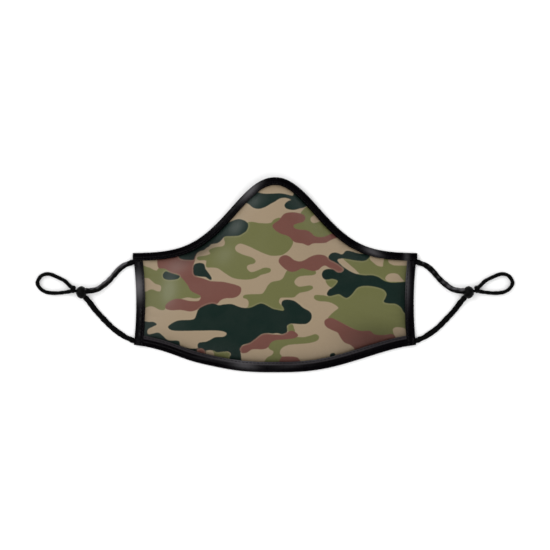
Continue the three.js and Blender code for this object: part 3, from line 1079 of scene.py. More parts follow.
@dataclass
class EarLoop:
    """One side's elastic: two sewn ends, two runs, the stopper bead, the knot and the pull loop.

    Routes and centres are given outwards from the line that the loop turns about.
    """

    side: Side
    hinge: float = 0.1132
    fold_reach: tuple = (-0.0017, 0.0016)
    width: float = 0.0043
    thickness: float = 0.0026
    held_width: float = 0.0038
    held_thickness: float = 0.0015
    neck: float = 0.0021
    sewn_depth: float = 0.0046
    upper_gap: float = 0.0022
    lower_gap: float = 0.0031
    upper_exit: tuple = (0.0016, -0.0001)
    lower_exit: tuple = (-0.0001, 0.0021)
    sewn_lean: float = 0.15
    lead_out: float = 0.0017
    square_reach: tuple = (0.001, 0.004)
    squeeze: tuple = (0.0336, 0.0372)
    run_end: float = 0.036
    neck_start: float = 0.0372
    neck_end: float = 0.0425
    knot_inside: float = 0.0436
    travel: float = 0.014
    cord_sides: int = 24
    upper_rings: int = 190
    lower_rings: int = 230
    tail_rings: int = 170
    bead_centre: tuple = (0.0374, -0.0135, 0.0042)
    bead_size: tuple = (0.0082, 0.0098, 0.0084)
    bead_rounding: float = 0.0037
    mouth_rim: float = 0.0003
    mouth_wall: float = 0.0002
    mouth_depth: float = 0.0005
    knot_centre: tuple = (0.0442, -0.0111, 0.0030)
    knot_turns: tuple = (-0.15, 1.75)
    knot_rings: int = 90
    knot_sides: int = 18
    knot_width: float = 0.0027
    knot_length: float = 0.0021
    knot_reach: tuple = (0.0016, 0.0013)
    knot_pull: float = 0.55
    tight_knit: float = 0.8
    rib_depth: float = 0.00006
    rib_count: int = 8
    rib_twist: float = 900.0
    bunch_depth: float = 0.00008
    tail_width: float = 0.0029
    tail_height: float = 0.0034
    run_gleam: tuple = (-0.4, 0.52, 0.75)
    upper_route: tuple = (
        (0.0053, 0.0068, 0.0015), (0.0094, 0.0033, 0.00145), (0.013, -0.0009, 0.0016),
        (0.0168, -0.005, 0.002), (0.0208, -0.0083, 0.0026), (0.0246, -0.0109, 0.0034),
        (0.0285, -0.012, 0.0043), (0.0318, -0.0124, 0.0049), (0.0344, -0.0123, 0.0053),
        (0.0373, -0.0123, 0.0054), (0.0398, -0.0125, 0.0053), (0.042, -0.0125, 0.0046),
        (0.0438, -0.0122, 0.0038),
    )
    lower_route: tuple = (
        (0.0061, -0.0466, 0.0015), (0.013, -0.0416, 0.0014), (0.02, -0.0347, 0.0014),
        (0.027, -0.027, 0.0017), (0.0314, -0.0211, 0.0023), (0.0344, -0.0176, 0.0028),
        (0.0371, -0.0149, 0.003), (0.0396, -0.0132, 0.003), (0.042, -0.0125, 0.0023),
        (0.0438, -0.012, 0.0023),
    )
    tail_route: tuple = (
        (0.0452, -0.0096, 0.0023), (0.0468, -0.0083, 0.0021), (0.0505, -0.0047, 0.0018),
        (0.0568, -0.0015, 0.00175), (0.061, 0.0003, 0.00175), (0.0641, 0.0008, 0.00175),
        (0.0688, -0.0006, 0.00175), (0.0719, -0.006, 0.00175), (0.0699, -0.0102, 0.00175),
        (0.0662, -0.0129, 0.00175), (0.062, -0.0139, 0.00175), (0.0568, -0.0141, 0.00175),
        (0.0515, -0.0136, 0.0018), (0.047, -0.0129, 0.0021), (0.0452, -0.0124, 0.0023),
    )
    pieces: list = field(default_factory=list)

    @property
    def loop_body(self) -> str:
        """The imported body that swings."""
        return f"{self.side.label}_ear_loop"

    @property
    def stopper_body(self) -> str:
        """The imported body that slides."""
        return f"{self.side.label}_stopper"

    def place(self, out: float, y: float, z: float) -> Array:
        """A point given outwards from the line that the loop turns about."""
        return np.array([self.side.value * (self.hinge + out), y, z])

    def exit_height(self, level: Level) -> float:
        """Where one sewn end crosses the side tape.

        Args:
            level: The upper or the lower end.

        Returns:
            Its place along Y.
        """
        if level is Level.UPPER:
            return SHAPE.top_corner - SHAPE.top_tape - self.upper_gap
        return SHAPE.bottom_corner + self.lower_gap

    def run_tube(self, level: Level) -> Tube:
        """One run of elastic, from inside the side tape to inside the knot.

        Args:
            level: The upper or the lower run.

        Returns:
            The run's skin, flat where it is sewn and squeezed round where it is held.
        """
        y = self.exit_height(level)
        edge = float(SHAPE.half_width(np.array(y)))
        upper = level is Level.UPPER
        at_tape, at_lead = self.upper_exit if upper else self.lower_exit
        steep = (at_lead - at_tape) * self.sewn_lean
        route = self.upper_route if upper else self.lower_route
        inside = edge - self.hinge
        sewn, level_z = self.sewn_depth, SHAPE.mid_height
        first = [
            self.place(inside - sewn, y + at_tape - steep * 2, level_z),
            self.place(inside - sewn / 2, y + at_tape - steep, level_z),
            self.place(inside, y + at_tape, level_z),
            self.place(self.lead_out, y + at_lead, level_z),
        ]
        points = np.array(first + [self.place(*p) for p in route])
        centre = smooth_route(points, self.upper_rings if upper else self.lower_rings)
        out = np.abs(centre[:, 0]) - self.hinge
        free = smoothstep(out, inside, 0.0)
        squeeze = smoothstep(out, *self.squeeze)
        widths = self.held_width + (self.width - self.held_width) * free
        heights = self.held_thickness + (self.thickness - self.held_thickness) * free
        widths = widths + (self.neck - widths) * squeeze
        heights = heights + (self.neck - heights) * squeeze
        along = unit(np.gradient(centre, axis=0))
        straight = 1 - smoothstep(np.abs(out - self.lead_out), *self.square_reach)
        squared = np.array([self.side.value, 0.0, 0.0]) * straight[:, None]
        along = unit(along * (1 - straight[:, None]) + squared)
        at = int(np.argmin(np.abs(out - self.lead_out)))
        centre[at, 0] = self.side.value * (self.hinge + self.lead_out)
        return Tube(centre, widths, heights, sides=self.cord_sides, along=along)

    def finish(self, piece: bpy.types.Object, coat: Finish, slot: str) -> bpy.types.Object:
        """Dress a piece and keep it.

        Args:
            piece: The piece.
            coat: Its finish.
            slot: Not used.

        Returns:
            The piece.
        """
        piece.data.materials.append(coat.material())
        self.pieces.append(piece)
        return piece

    def knit(self, tube: Tube) -> Array:
        """Shallow ribs along the elastic, and soft lumps where the knit bunches.

        Args:
            tube: The elastic's skin.

        Returns:
            How far each point of each ring moves outwards.
        """
        reach = lengths_along(tube.centre)[:, None]
        turn = (np.arange(tube.sides) / tube.sides * 2 * math.pi)[None, :]
        ribs = self.rib_depth * np.cos(self.rib_count * turn + reach * self.rib_twist)
        bunches = self.bunch_depth * np.sin(reach * 1150 + 1.3 * np.sin(turn))
        return ribs + (bunches + self.rib_depth * np.sin(reach * 430 + 2 * turn))

    def build_run(self, level: Level) -> None:
        """Make one run: its sewn end, its free length and its neck beyond the stopper.

        Args:
            level: The upper or the lower run.
        """
        label, name = self.side.label, level.value
        tube = self.run_tube(level)
        out = np.abs(tube.centre[:, 0]) - self.hinge
        joint, held, last = (
            int(np.argmin(np.abs(out - mark)))
            for mark in (self.lead_out, self.run_end, self.knot_inside)
        )
        swell = self.knit(tube)
        end = tube.piece(f"{label}_{name}_sewn_end", 0, joint, swell)
        self.finish(end, ELASTIC, "elastic_cord")
        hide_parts(f"{label}_{name}_elastic_end")
        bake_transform(end)
        run = tube.piece(f"{label}_{name}_run", joint, held, swell)
        self.finish(run, ELASTIC, "elastic_cord")
        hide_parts(f"{label}_{name}_strand")
        # A painted highlight along the upper run's side that faces the key light.
        if level is Level.UPPER:
            lay_ridge_gleam(run, Vector(self.run_gleam), 1.0)
        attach(run, self.loop_body)
        neck = tube.piece(f"{label}_{name}_neck", held - 2, last, swell)
        self.finish(neck, ELASTIC, "elastic_cord")
        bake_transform(neck)
        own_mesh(run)

    def build_tail(self) -> None:
        """Make the pull loop, with both its ends inside the knot."""
        points = np.array([self.place(*p) for p in self.tail_route])
        centre = smooth_route(points, self.tail_rings)
        widths = np.full(self.tail_rings, self.tail_width)
        heights = np.full(self.tail_rings, self.tail_height)
        tube = Tube(centre, widths, heights, sides=self.cord_sides)
        swell = self.knit(tube) * self.tight_knit
        tail = tube.piece(f"{self.side.label}_pull_loop", swell=swell)
        self.finish(tail, ELASTIC, "elastic_cord")
        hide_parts(f"{self.side.label}_tail_loop")
        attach(tail, self.loop_body)

    def build_knot(self) -> None:
        """Make the overhand knot: a turn and a half of elastic drawn tight round both limbs."""
        turn = np.linspace(*self.knot_turns, self.knot_rings) * 2 * math.pi
        share = np.linspace(0, 1, self.knot_rings)
        ends = smoothstep(share, 0.12, 0.0) + smoothstep(share, 0.88, 1.0)
        pull = 1 - self.knot_pull * ends
        x, y, z = self.knot_centre
        x = x + (share - 0.5) * self.knot_length
        y = y + self.knot_reach[0] * pull * np.cos(turn)
        z = z + self.knot_reach[1] * pull * np.sin(turn)
        centre = np.stack([self.side.value * (self.hinge + x), y, z], axis=1)
        widths = np.full(self.knot_rings, self.knot_width)
        tube = Tube(centre, widths, widths, sides=self.knot_sides)
        swell = self.knit(tube) * self.tight_knit
        knot = tube.piece(f"{self.side.label}_overhand_knot", swell=swell)
        self.finish(knot, ELASTIC, "elastic_cord")
        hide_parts(f"{self.side.label}_cord_knot")
        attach(knot, self.loop_body)

    def build_bead(self) -> None:
        """Model the soft stopper, a block rounded all over.

        Each end has a sunk mouth for the elastic.
        """
        bpy.ops.object.select_all(action="DESELECT")
        bpy.ops.mesh.primitive_cube_add(size=1, location=(0, 0, 0))
        bead = bpy.context.object
        bead.name = f"{self.side.label}_stopper"
        bead.data.name = bead.name
        self.resize(bead, self.bead_size)
        bpy.ops.object.mode_set(mode="EDIT")
        bpy.ops.mesh.select_all(action="SELECT")
        bpy.ops.mesh.bevel(offset=self.bead_rounding, segments=2, profile=0.5, affect="EDGES")
        bpy.ops.object.mode_set(mode="OBJECT")
        self.select_faces(bead, lambda face: abs(face.normal.x) > 0.999)
        bpy.ops.object.mode_set(mode="EDIT")
        bpy.ops.mesh.inset(thickness=self.mouth_rim, depth=0.0)
        bpy.ops.mesh.inset(thickness=self.mouth_wall, depth=-self.mouth_depth)
        bpy.ops.object.mode_set(mode="OBJECT")
        rounding = bead.modifiers.new("rounding", "SUBSURF")
        rounding.levels = rounding.render_levels = 3
        bpy.ops.object.modifier_apply(modifier=rounding.name)
        spans = np.ptp(np.array([v.co for v in bead.data.vertices]), axis=0)
        self.resize(bead, [size / span for size, span in zip(self.bead_size, spans)])
        bead.location = self.place(*self.bead_centre)
        bpy.ops.object.transform_apply(location=True, rotation=False, scale=False)
        bpy.ops.object.shade_smooth()
        bead.select_set(False)
        self.finish(bead, RUBBER, "stopper_silicone")
        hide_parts(f"{self.side.label}_stopper_bead")
        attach(bead, self.stopper_body)

    @staticmethod
    def resize(piece: bpy.types.Object, scale: tuple | list) -> None:
        """Scale the selected piece's mesh, and leave its object unscaled."""
        piece.scale = scale
        bpy.ops.object.transform_apply(location=False, rotation=False, scale=True)

    @staticmethod
    def select_faces(
        piece: bpy.types.Object, wanted: Callable[[bpy.types.MeshPolygon], bool]
    ) -> None:
        """Select the faces that are wanted, and nothing else.

        Args:
            piece: The piece.
            wanted: Tells whether a face is wanted.
        """
        for edge in piece.data.edges:
            edge.select = False
        for vertex in piece.data.vertices:
            vertex.select = False
        for face in piece.data.polygons:
            face.select = wanted(face)

    def build(self) -> None:
        """Make every piece of this side's loop."""
        for level in Level:
            self.build_run(level)
        self.build_tail()
        self.build_knot()
        self.build_bead()
        log.info("%s: %d pieces", self.loop_body, len(self.pieces))


# ---- The printed cloth and the plies under it ----


class Ink(Enum):
    """The print's colours. Tan is the ground, so a tan blotch takes the others away."""

    TAN = "tan"
    OLIVE = "olive"
    BROWN = "brown"
    DARK = "dark"


QUARTERS = (0.0, 0.25, 0.5, 0.75)


@dataclass(frozen=True)
class Blotch:
    """One printed blotch: its ink, and its outline's turning points in millimetres."""

    ink: Ink
    outline: tuple

    def curve(self) -> Array:
        """Draw a smooth closed line through the outline's turning points.

        Returns:
            The line's points, in metres.
        """
        p = np.array(self.outline, float) * MM
        before, after, beyond = (np.roll(p, step, axis=0) for step in (1, -1, -2))
        slope = after - before
        bend = 2 * before - 5 * p + 4 * after - beyond
        twist = 3 * p - before - 3 * after + beyond
        parts = [0.5 * (2 * p + slope * t + bend * t**2 + twist * t**3) for t in QUARTERS]
        return np.stack(parts, axis=1).reshape(-1, 2)

    def depth(self, places: Array) -> Array:
        """How far each place is inside the blotch.

        Args:
            places: One row of X and Y for each, in metres.

        Returns:
            The distance in from the outline in millimetres, below 0 outside it.
        """
        curve = self.curve()
        near = np.full(len(places), 1.0)
        inside = np.zeros(len(places), bool)
        x, y = places[:, 0], places[:, 1]
        for a, b in zip(curve, np.roll(curve, -1, axis=0)):
            run = b - a
            out, up = x - a[0], y - a[1]
            share = np.clip((out * run[0] + up * run[1]) / max(float(run @ run), 1e-14), 0, 1)
            near = np.minimum(near, np.hypot(out - share * run[0], up - share * run[1]))
            if a[1] != b[1]:
                crossed = (a[1] > y) != (b[1] > y)
                inside ^= crossed & (x < a[0] + up * run[0] / run[1])
        return np.where(inside, near, -near) / MM


# Short names for the blotches below, which lie one over another in this order.
T, O, B, D = Ink.TAN, Ink.OLIVE, Ink.BROWN, Ink.DARK

PRINT_BLOTCHES = (
    Blotch(O, (  # left cheek
        (-108, 5.8), (-99, 5.8), (-96, 4.6), (-92, 3.1), (-90, 5.3), (-85, 5), (-80, 2), (-76, 1),
        (-71, -3), (-67, -8), (-65, -11.5), (-62, -13.5), (-58, -15.5), (-57.5, -17),
        (-62, -17.8), (-67, -17), (-72, -18.3), (-77, -18.8), (-81, -20.5), (-84, -23.5),
        (-86, -26.8), (-90, -26.5), (-93, -25), (-97, -24), (-108, -24.5))),
    Blotch(T, (
        (-108, -3), (-100, -2.2), (-98, -2.5), (-96, -4), (-93, -6.5), (-90.5, -7.2),
        (-88.4, -8.3), (-88, -10.5), (-89, -12.9), (-92, -12.7), (-95, -11.5), (-98, -11.8),
        (-100, -13), (-108, -13))),
    Blotch(B, (  # left temple, with its long lobe
        (-92, 18), (-91.4, 12), (-91.2, 8.5), (-90, 5.5), (-85, 5), (-80, 1.5), (-76, 1),
        (-71, -3), (-67, -8), (-65, -11.5), (-62, -13.5), (-57.5, -15.5), (-57, -18),
        (-59, -20.2), (-66, -20.2), (-72, -18.8), (-76, -18.6), (-79, -19.3), (-82, -21),
        (-84.5, -23.5), (-84.3, -25.9), (-80, -27), (-73, -26.7), (-65, -27.8), (-60, -26.5),
        (-55, -24.6), (-50, -22.2), (-45, -22.3), (-42, -19.3), (-38, -17.6), (-32, -17.3),
        (-28, -15.5), (-26.2, -12.5), (-26.5, -9.5), (-30, -7.8), (-35, -6.5), (-40, -5.5),
        (-45, -5.2), (-49.5, -4.8), (-55, -3), (-62, 0), (-63, 8), (-62, 13), (-62, 24),
        (-80, 26))),
    Blotch(T, (
        (-73, -18.3), (-70, -17.5), (-67, -17), (-62, -17.8), (-59, -18.3), (-58.8, -19.5),
        (-62, -20.2), (-66, -20), (-70, -19.2))),
    Blotch(O, (  # centre left, up to the nose and down the middle
        (-20, 40.5), (-12, 39.6), (-6, 39.3), (-2.5, 40), (-1, 42), (3, 43.6), (6, 42), (14, 36),
        (13.6, 26), (13.4, 24), (11.7, 20.6), (9.8, 18.4), (7.3, 16.5), (4.4, 15.3), (-1, 14.9),
        (-5, 15.5), (-12, 18.3), (-19, 21.8), (-25.5, 24.2), (-28.5, 23.9), (-30.8, 21.5),
        (-30, 18.3), (-25, 15.5), (-18, 13.3), (-15.2, 11), (-16, 9), (-20.5, 7.9), (-21.8, 5.5),
        (-20, 2.8), (-17, 2), (-12, 3.8), (-8, 5.3), (-4, 4.8), (-3.6, 2.7), (-7, 1.3),
        (-11, 0.2), (-15, -2.1), (-22, -3.3), (-31, -2.3), (-37, 0.8), (-43.5, 5.2), (-48, 6),
        (-53, 6.4), (-53, 11.3), (-59, 11.7), (-60, 13.8), (-54, 14.8), (-49.6, 16.3), (-51, 19),
        (-46, 21.2), (-40, 22), (-38.3, 25), (-39, 30), (-30, 36))),
    Blotch(T, (
        (-40, 34), (-45, 33), (-46, 38), (-36, 45), (-31, 43.5), (-35, 40.5), (-37.5, 37.5))),
    Blotch(O, (  # middle, under the centre
        (8.5, 2), (10.5, 4), (15, 4.5), (24, 6), (29, 4), (31, 2.6), (30.8, 0.9), (28, 0),
        (23.4, -0.2), (18.5, -1), (15.6, -3), (14.6, -5), (15.2, -7.2), (17, -8.6), (19.5, -9.2),
        (25.3, -8.3), (28.2, -8.6), (28.6, -10.4), (24.4, -12.3), (19, -13.4), (16.3, -15.3),
        (14, -16.9), (7.8, -17), (4.2, -17.3), (2.9, -19.5), (3.2, -21.8), (6.8, -25), (6, -30),
        (-10, -30), (-24, -28), (-20.5, -24.5), (-20, -20.5), (-21.5, -18.3), (-24.2, -17.2),
        (-23, -15.4), (-16, -14.9), (-10, -14.6), (-7.5, -12), (-5.5, -8.5), (-3, -5.9), (0, -5),
        (3.5, -4.3), (6.3, -2.5))),
    Blotch(D, (  # left flank of the nose
        (-34.5, 41.6), (-30, 43.2), (-26, 43), (-22, 41), (-20.5, 38), (-22, 34), (-25, 31.8),
        (-28, 30.3), (-33, 30), (-38.7, 29.8), (-40.9, 27.5), (-44.2, 24.8), (-49.5, 23.8),
        (-52.7, 21.8), (-54.8, 19.5), (-59, 18.4), (-62, 16.9), (-62.6, 12.2), (-66, 11.7),
        (-72, 12.2), (-75, 14.2), (-75, 20), (-62, 27), (-52, 34), (-43, 38), (-39, 40))),
    Blotch(B, (  # under the nose
        (0, 39.7), (2.9, 41.6), (5.2, 44.5), (7.8, 47), (13.2, 48), (19.5, 47.2), (22.6, 45.7),
        (23.1, 43.4), (21.5, 41.1), (17, 39.8), (14.2, 38.4), (14.3, 36.2), (17.6, 34.8),
        (24.4, 34.1), (27.8, 32.2), (30.2, 29.9), (34, 29), (39, 29.7), (44, 31.9), (52, 34),
        (49, 29.8), (43.9, 27.7), (39.5, 25.3), (36, 24.8), (29.3, 24.5), (25.4, 22.8),
        (21.5, 24.3), (16.1, 25.1), (13.7, 26.5), (10.7, 29.7), (4.4, 31.9), (0.5, 34.4),
        (-1.8, 37.5))),
    Blotch(O, (  # right flank of the nose
        (20, 47.4), (21.8, 50), (24.4, 52.4), (34, 54), (56, 36), (44, 32), (39, 29.9),
        (34, 29.2), (30.4, 30.1), (27.8, 32.4), (24.4, 34.3), (17.6, 35), (14.5, 36.4),
        (14.4, 38.2), (17, 39.6), (21.5, 40.9), (23.3, 43.4), (22.7, 45.9))),
    Blotch(T, (
        (27.1, 42.8), (27.8, 44.8), (30.2, 46.7), (33, 48), (38, 43), (33.9, 41.1), (30.5, 39.9),
        (28.2, 40.6))),
    Blotch(D, (  # crown
        (-20.5, 55), (-17, 52), (-12.5, 50.9), (-8, 52), (-4, 54.3), (0, 56.5), (3.5, 58.8),
        (7.8, 59.5), (12.4, 58.1), (10, 57), (7.8, 55), (7.3, 53), (9, 50.9), (14.1, 50),
        (19.5, 51.4), (24, 53), (30, 58), (16, 64), (13.8, 61.5), (8.8, 62.4), (4, 63.1),
        (-5, 62.8), (-10, 63.2), (-14, 64.4), (-20, 66), (-28, 60))),
    Blotch(B, (  # long lobed one across the middle
        (3, 10.4), (4.2, 13.4), (7.6, 14.9), (11.2, 13.8), (14.1, 11.4), (18.5, 10.1),
        (22.5, 11.1), (27.3, 13.8), (32, 15.3), (37.3, 15), (41, 12.9), (44.9, 10.4), (49.3, 8),
        (52.4, 5), (52, 2.8), (49.2, 2), (45.8, 3.4), (42, 5.6), (38.5, 7.5), (35.8, 6.5),
        (33, 4.2), (29.3, 3.3), (24.9, 4.3), (20.5, 5.3), (16.4, 3.3), (12, 2.7), (8, 4.7),
        (4.8, 7.6))),
    Blotch(O, (  # right cheek, behind the dark band
        (52, 14), (60, 13), (74, 16), (108, 14), (108, -44), (95, -50), (88, -46.3),
        (81.3, -47.1), (76.5, -46), (73.5, -43.6), (65.2, -43.4), (59.3, -40.5), (52, -37),
        (46, -34), (41.2, -33.2), (42.4, -31.2), (45.5, -28.3), (48.8, -25.6), (47.6, -23.6),
        (43.5, -21.2), (39, -20.1), (33.5, -19.7), (30.2, -17.8), (31, -15.6), (37, -15.8),
        (41, -16), (46, -10), (43.5, -9.6), (41, -7.9), (39.3, -5.4), (39.5, -3.6), (46, -3),
        (60, -4), (64, 2), (58, 8))),
    Blotch(D, (  # by the left top tape
        (-76.4, 19), (-75, 14.5), (-72, 12.6), (-66, 12), (-63, 13.2), (-60.5, 17), (-56, 19.8),
        (-50, 23.5), (-56, 30), (-68, 26))),
    Blotch(D, (
        (-87, 0.2), (-85, 2.8), (-82, 2), (-78, 0.7), (-73.7, -0.8), (-75.5, -3.1), (-82, -3.8),
        (-86, -2.7))),
    Blotch(D, (
        (-63.2, 4), (-62.4, 8.2), (-58.5, 9.4), (-54.8, 8.4), (-53.4, 4.6), (-50.6, 1),
        (-48.6, -2.4), (-49.2, -4), (-51.2, -3), (-53.5, -1.6), (-58, -1.2), (-62.2, 0))),
    Blotch(D, (  # the big one, left of the chin
        (-54, -23.5), (-58.8, -26.4), (-60.3, -29.5), (-62, -33.5), (-66, -34.6), (-75, -35.2),
        (-81.5, -38.5), (-82.8, -41), (-78, -43.2), (-60, -43), (-45, -42.8), (-38.5, -44),
        (-37.4, -45.8), (-40, -47.6), (-46, -48), (-50, -50), (-53.5, -51.6), (-59, -52.5),
        (-60, -56), (-57, -58.9), (-50, -58.3), (-46.5, -59.8), (-42, -60.4), (-37.5, -59.2),
        (-34.4, -61), (-35.5, -63.5), (-40, -66), (-38, -72), (-27, -72), (-26.3, -64),
        (-26.9, -57.5), (-25, -54.2), (-20, -52.6), (-15.5, -49.5), (-10.5, -45.7), (-6, -44.8),
        (-2, -45.1), (2, -44.8), (5.6, -45.6), (9.3, -43.8), (9.3, -41), (9.4, -39),
        (12.2, -37.4), (20.5, -37.8), (24.6, -37.3), (27.6, -34.4), (28.2, -31), (26.6, -28),
        (21.5, -25), (18, -22), (14, -19.5), (9, -18.8), (5.9, -19.6), (4.9, -22.4), (6.6, -25.2),
        (6.6, -27.3), (2.4, -26.8), (-2, -25.7), (-8, -22.5), (-12, -22), (-19, -25),
        (-26, -24.8), (-33, -22.3), (-39, -22.5), (-43, -23.1), (-48, -21.9))),
    Blotch(O, (
        (10.3, -38.2), (13.3, -38), (14.2, -40.5), (15, -44), (11, -44), (9.6, -41.5))),
    Blotch(O, (  # low, under the chin's brown
        (-5, -54), (0, -50), (9, -48.5), (16.1, -48), (22, -48.2), (27, -47), (31.3, -45.8),
        (33.7, -47.6), (32.4, -50.4), (27, -52.2), (19, -53), (11, -53.7), (6.5, -55.4), (4, -58),
        (3.5, -61), (5.2, -64.3), (3, -72), (-9, -72), (-6.5, -65), (-2, -62), (-1, -59),
        (-4, -57.2))),
    Blotch(B, (
        (-26.8, -56), (-20, -52.8), (-14, -48.4), (-8, -45.3), (-1, -46), (5.8, -46), (9.8, -44),
        (13.2, -43.1), (16.3, -44.8), (17.5, -46.8), (14.1, -48.7), (5.8, -49.6), (0, -50.2),
        (-3.5, -52.3), (-5.4, -55.5), (-9, -57.2), (-17.5, -57.3), (-22, -60), (-26.3, -60))),
    Blotch(B, (
        (4.9, -64.4), (8, -63.6), (15, -63.8), (18.2, -65.2), (20, -71), (3.5, -72))),
    Blotch(B, (  # right jaw
        (39, -34.4), (43, -33.2), (48, -35.2), (55, -39), (62, -42.3), (67, -43.5), (73.5, -43.6),
        (77.4, -46.4), (85, -46.9), (91, -46.2), (94, -49.3), (94, -56), (64, -63), (62, -57.2),
        (58.5, -54), (54, -52), (51, -48.5), (48.5, -44.3), (43.8, -42.1), (39.7, -39.7),
        (38.2, -37))),
    Blotch(T, (
        (91.4, -43.5), (93, -40.6), (97.9, -40.5), (102, -42), (108, -48), (100, -54),
        (94.4, -49.6))),
    Blotch(D, (  # right band
        (35.9, 0.8), (37.3, 3.5), (40.5, 4.6), (44.2, 4.3), (48.3, 2), (51.5, 2.3), (53, 4.6),
        (49.3, 8), (45.5, 10.2), (42.3, 11.8), (41.1, 14), (43.3, 16.7), (47, 17.4), (51.5, 16),
        (53, 16.8), (54.6, 18.5), (57, 18.9), (60.5, 18.1), (65, 16.8), (69, 16.6), (74, 16),
        (73.3, 13.6), (69.6, 11.1), (63.2, 11.2), (56.9, 12.2), (51.7, 12.8), (48.4, 11.2),
        (50.7, 8), (56.1, 4), (62, 1.1), (68.6, -0.2), (74.9, -0.2), (80, -1.6), (85, -4.6),
        (91, -5.9), (101, -5.4), (108, -5.4), (108, -32), (101, -29.6), (97.9, -25.1),
        (93.5, -22.4), (88, -22), (84.2, -20.8), (85.4, -18), (86.4, -14.6), (83.8, -11.2),
        (76.4, -8.9), (68.6, -8.4), (63.2, -10), (59.3, -14.6), (55.3, -17.6), (52, -16.4),
        (48.7, -14.7), (42, -16.2), (39.7, -14.6), (41.4, -11.2), (44.6, -9.3), (47.5, -6.3),
        (47.8, -4.1), (43.8, -3), (38.8, -3.6), (36.4, -1.8))),
    Blotch(T, (
        (48.2, 11), (50, 12.6), (53, 11.3), (58, 7.4), (65.6, 0.9), (62, 1.2), (56.1, 4),
        (51.8, 7.3))),
    Blotch(T, (
        (73.5, 12.6), (76, 9.7), (79.3, 7.1), (83.6, 6.3), (84.4, 9), (85, 16), (76, 18))),
    Blotch(T, (
        (88, 10.4), (91, 7.8), (96, 7.1), (108, 8), (108, 16), (90, 16))),
    Blotch(T, (
        (85.2, -2.4), (87.8, 0.8), (92, 1.7), (95.9, 0.7), (98.3, -2), (100.4, -5.2), (91, -5.4),
        (87, -4.9))),
    Blotch(D, (
        (-108, -38), (-98, -36.5), (-94, -36.6), (-91.8, -38.5), (-95, -40.2), (-99, -42.5),
        (-98.5, -46.2), (-91, -44.7), (-87, -47.5), (-83, -50.8), (-75.5, -51), (-74, -54),
        (-75, -64), (-108, -64))),
    Blotch(O, (
        (-48, -58.9), (-45, -60), (-39, -59.5), (-35, -61.5), (-38, -69), (-48, -67))),
    Blotch(D, (
        (42.6, -63.2), (43.5, -61), (45.8, -60.6), (47, -62.3), (45, -63.8))),
    Blotch(D, (  # a strip along the chin tape, left
        (-72, -57), (-66, -57.3), (-61, -57.1), (-56.5, -56.4), (-53.6, -58.6), (-54, -66),
        (-72, -66))),
    Blotch(B, (
        (-60.8, -58.6), (-59.4, -57.2), (-56.6, -57), (-54.6, -58.6), (-54, -61), (-55, -65),
        (-60, -65))),
    Blotch(T, (
        (-53.8, -60.6), (-52.6, -59), (-50.4, -58.6), (-48, -59.4), (-47.2, -61), (-47.4, -65),
        (-53.4, -66))),
)


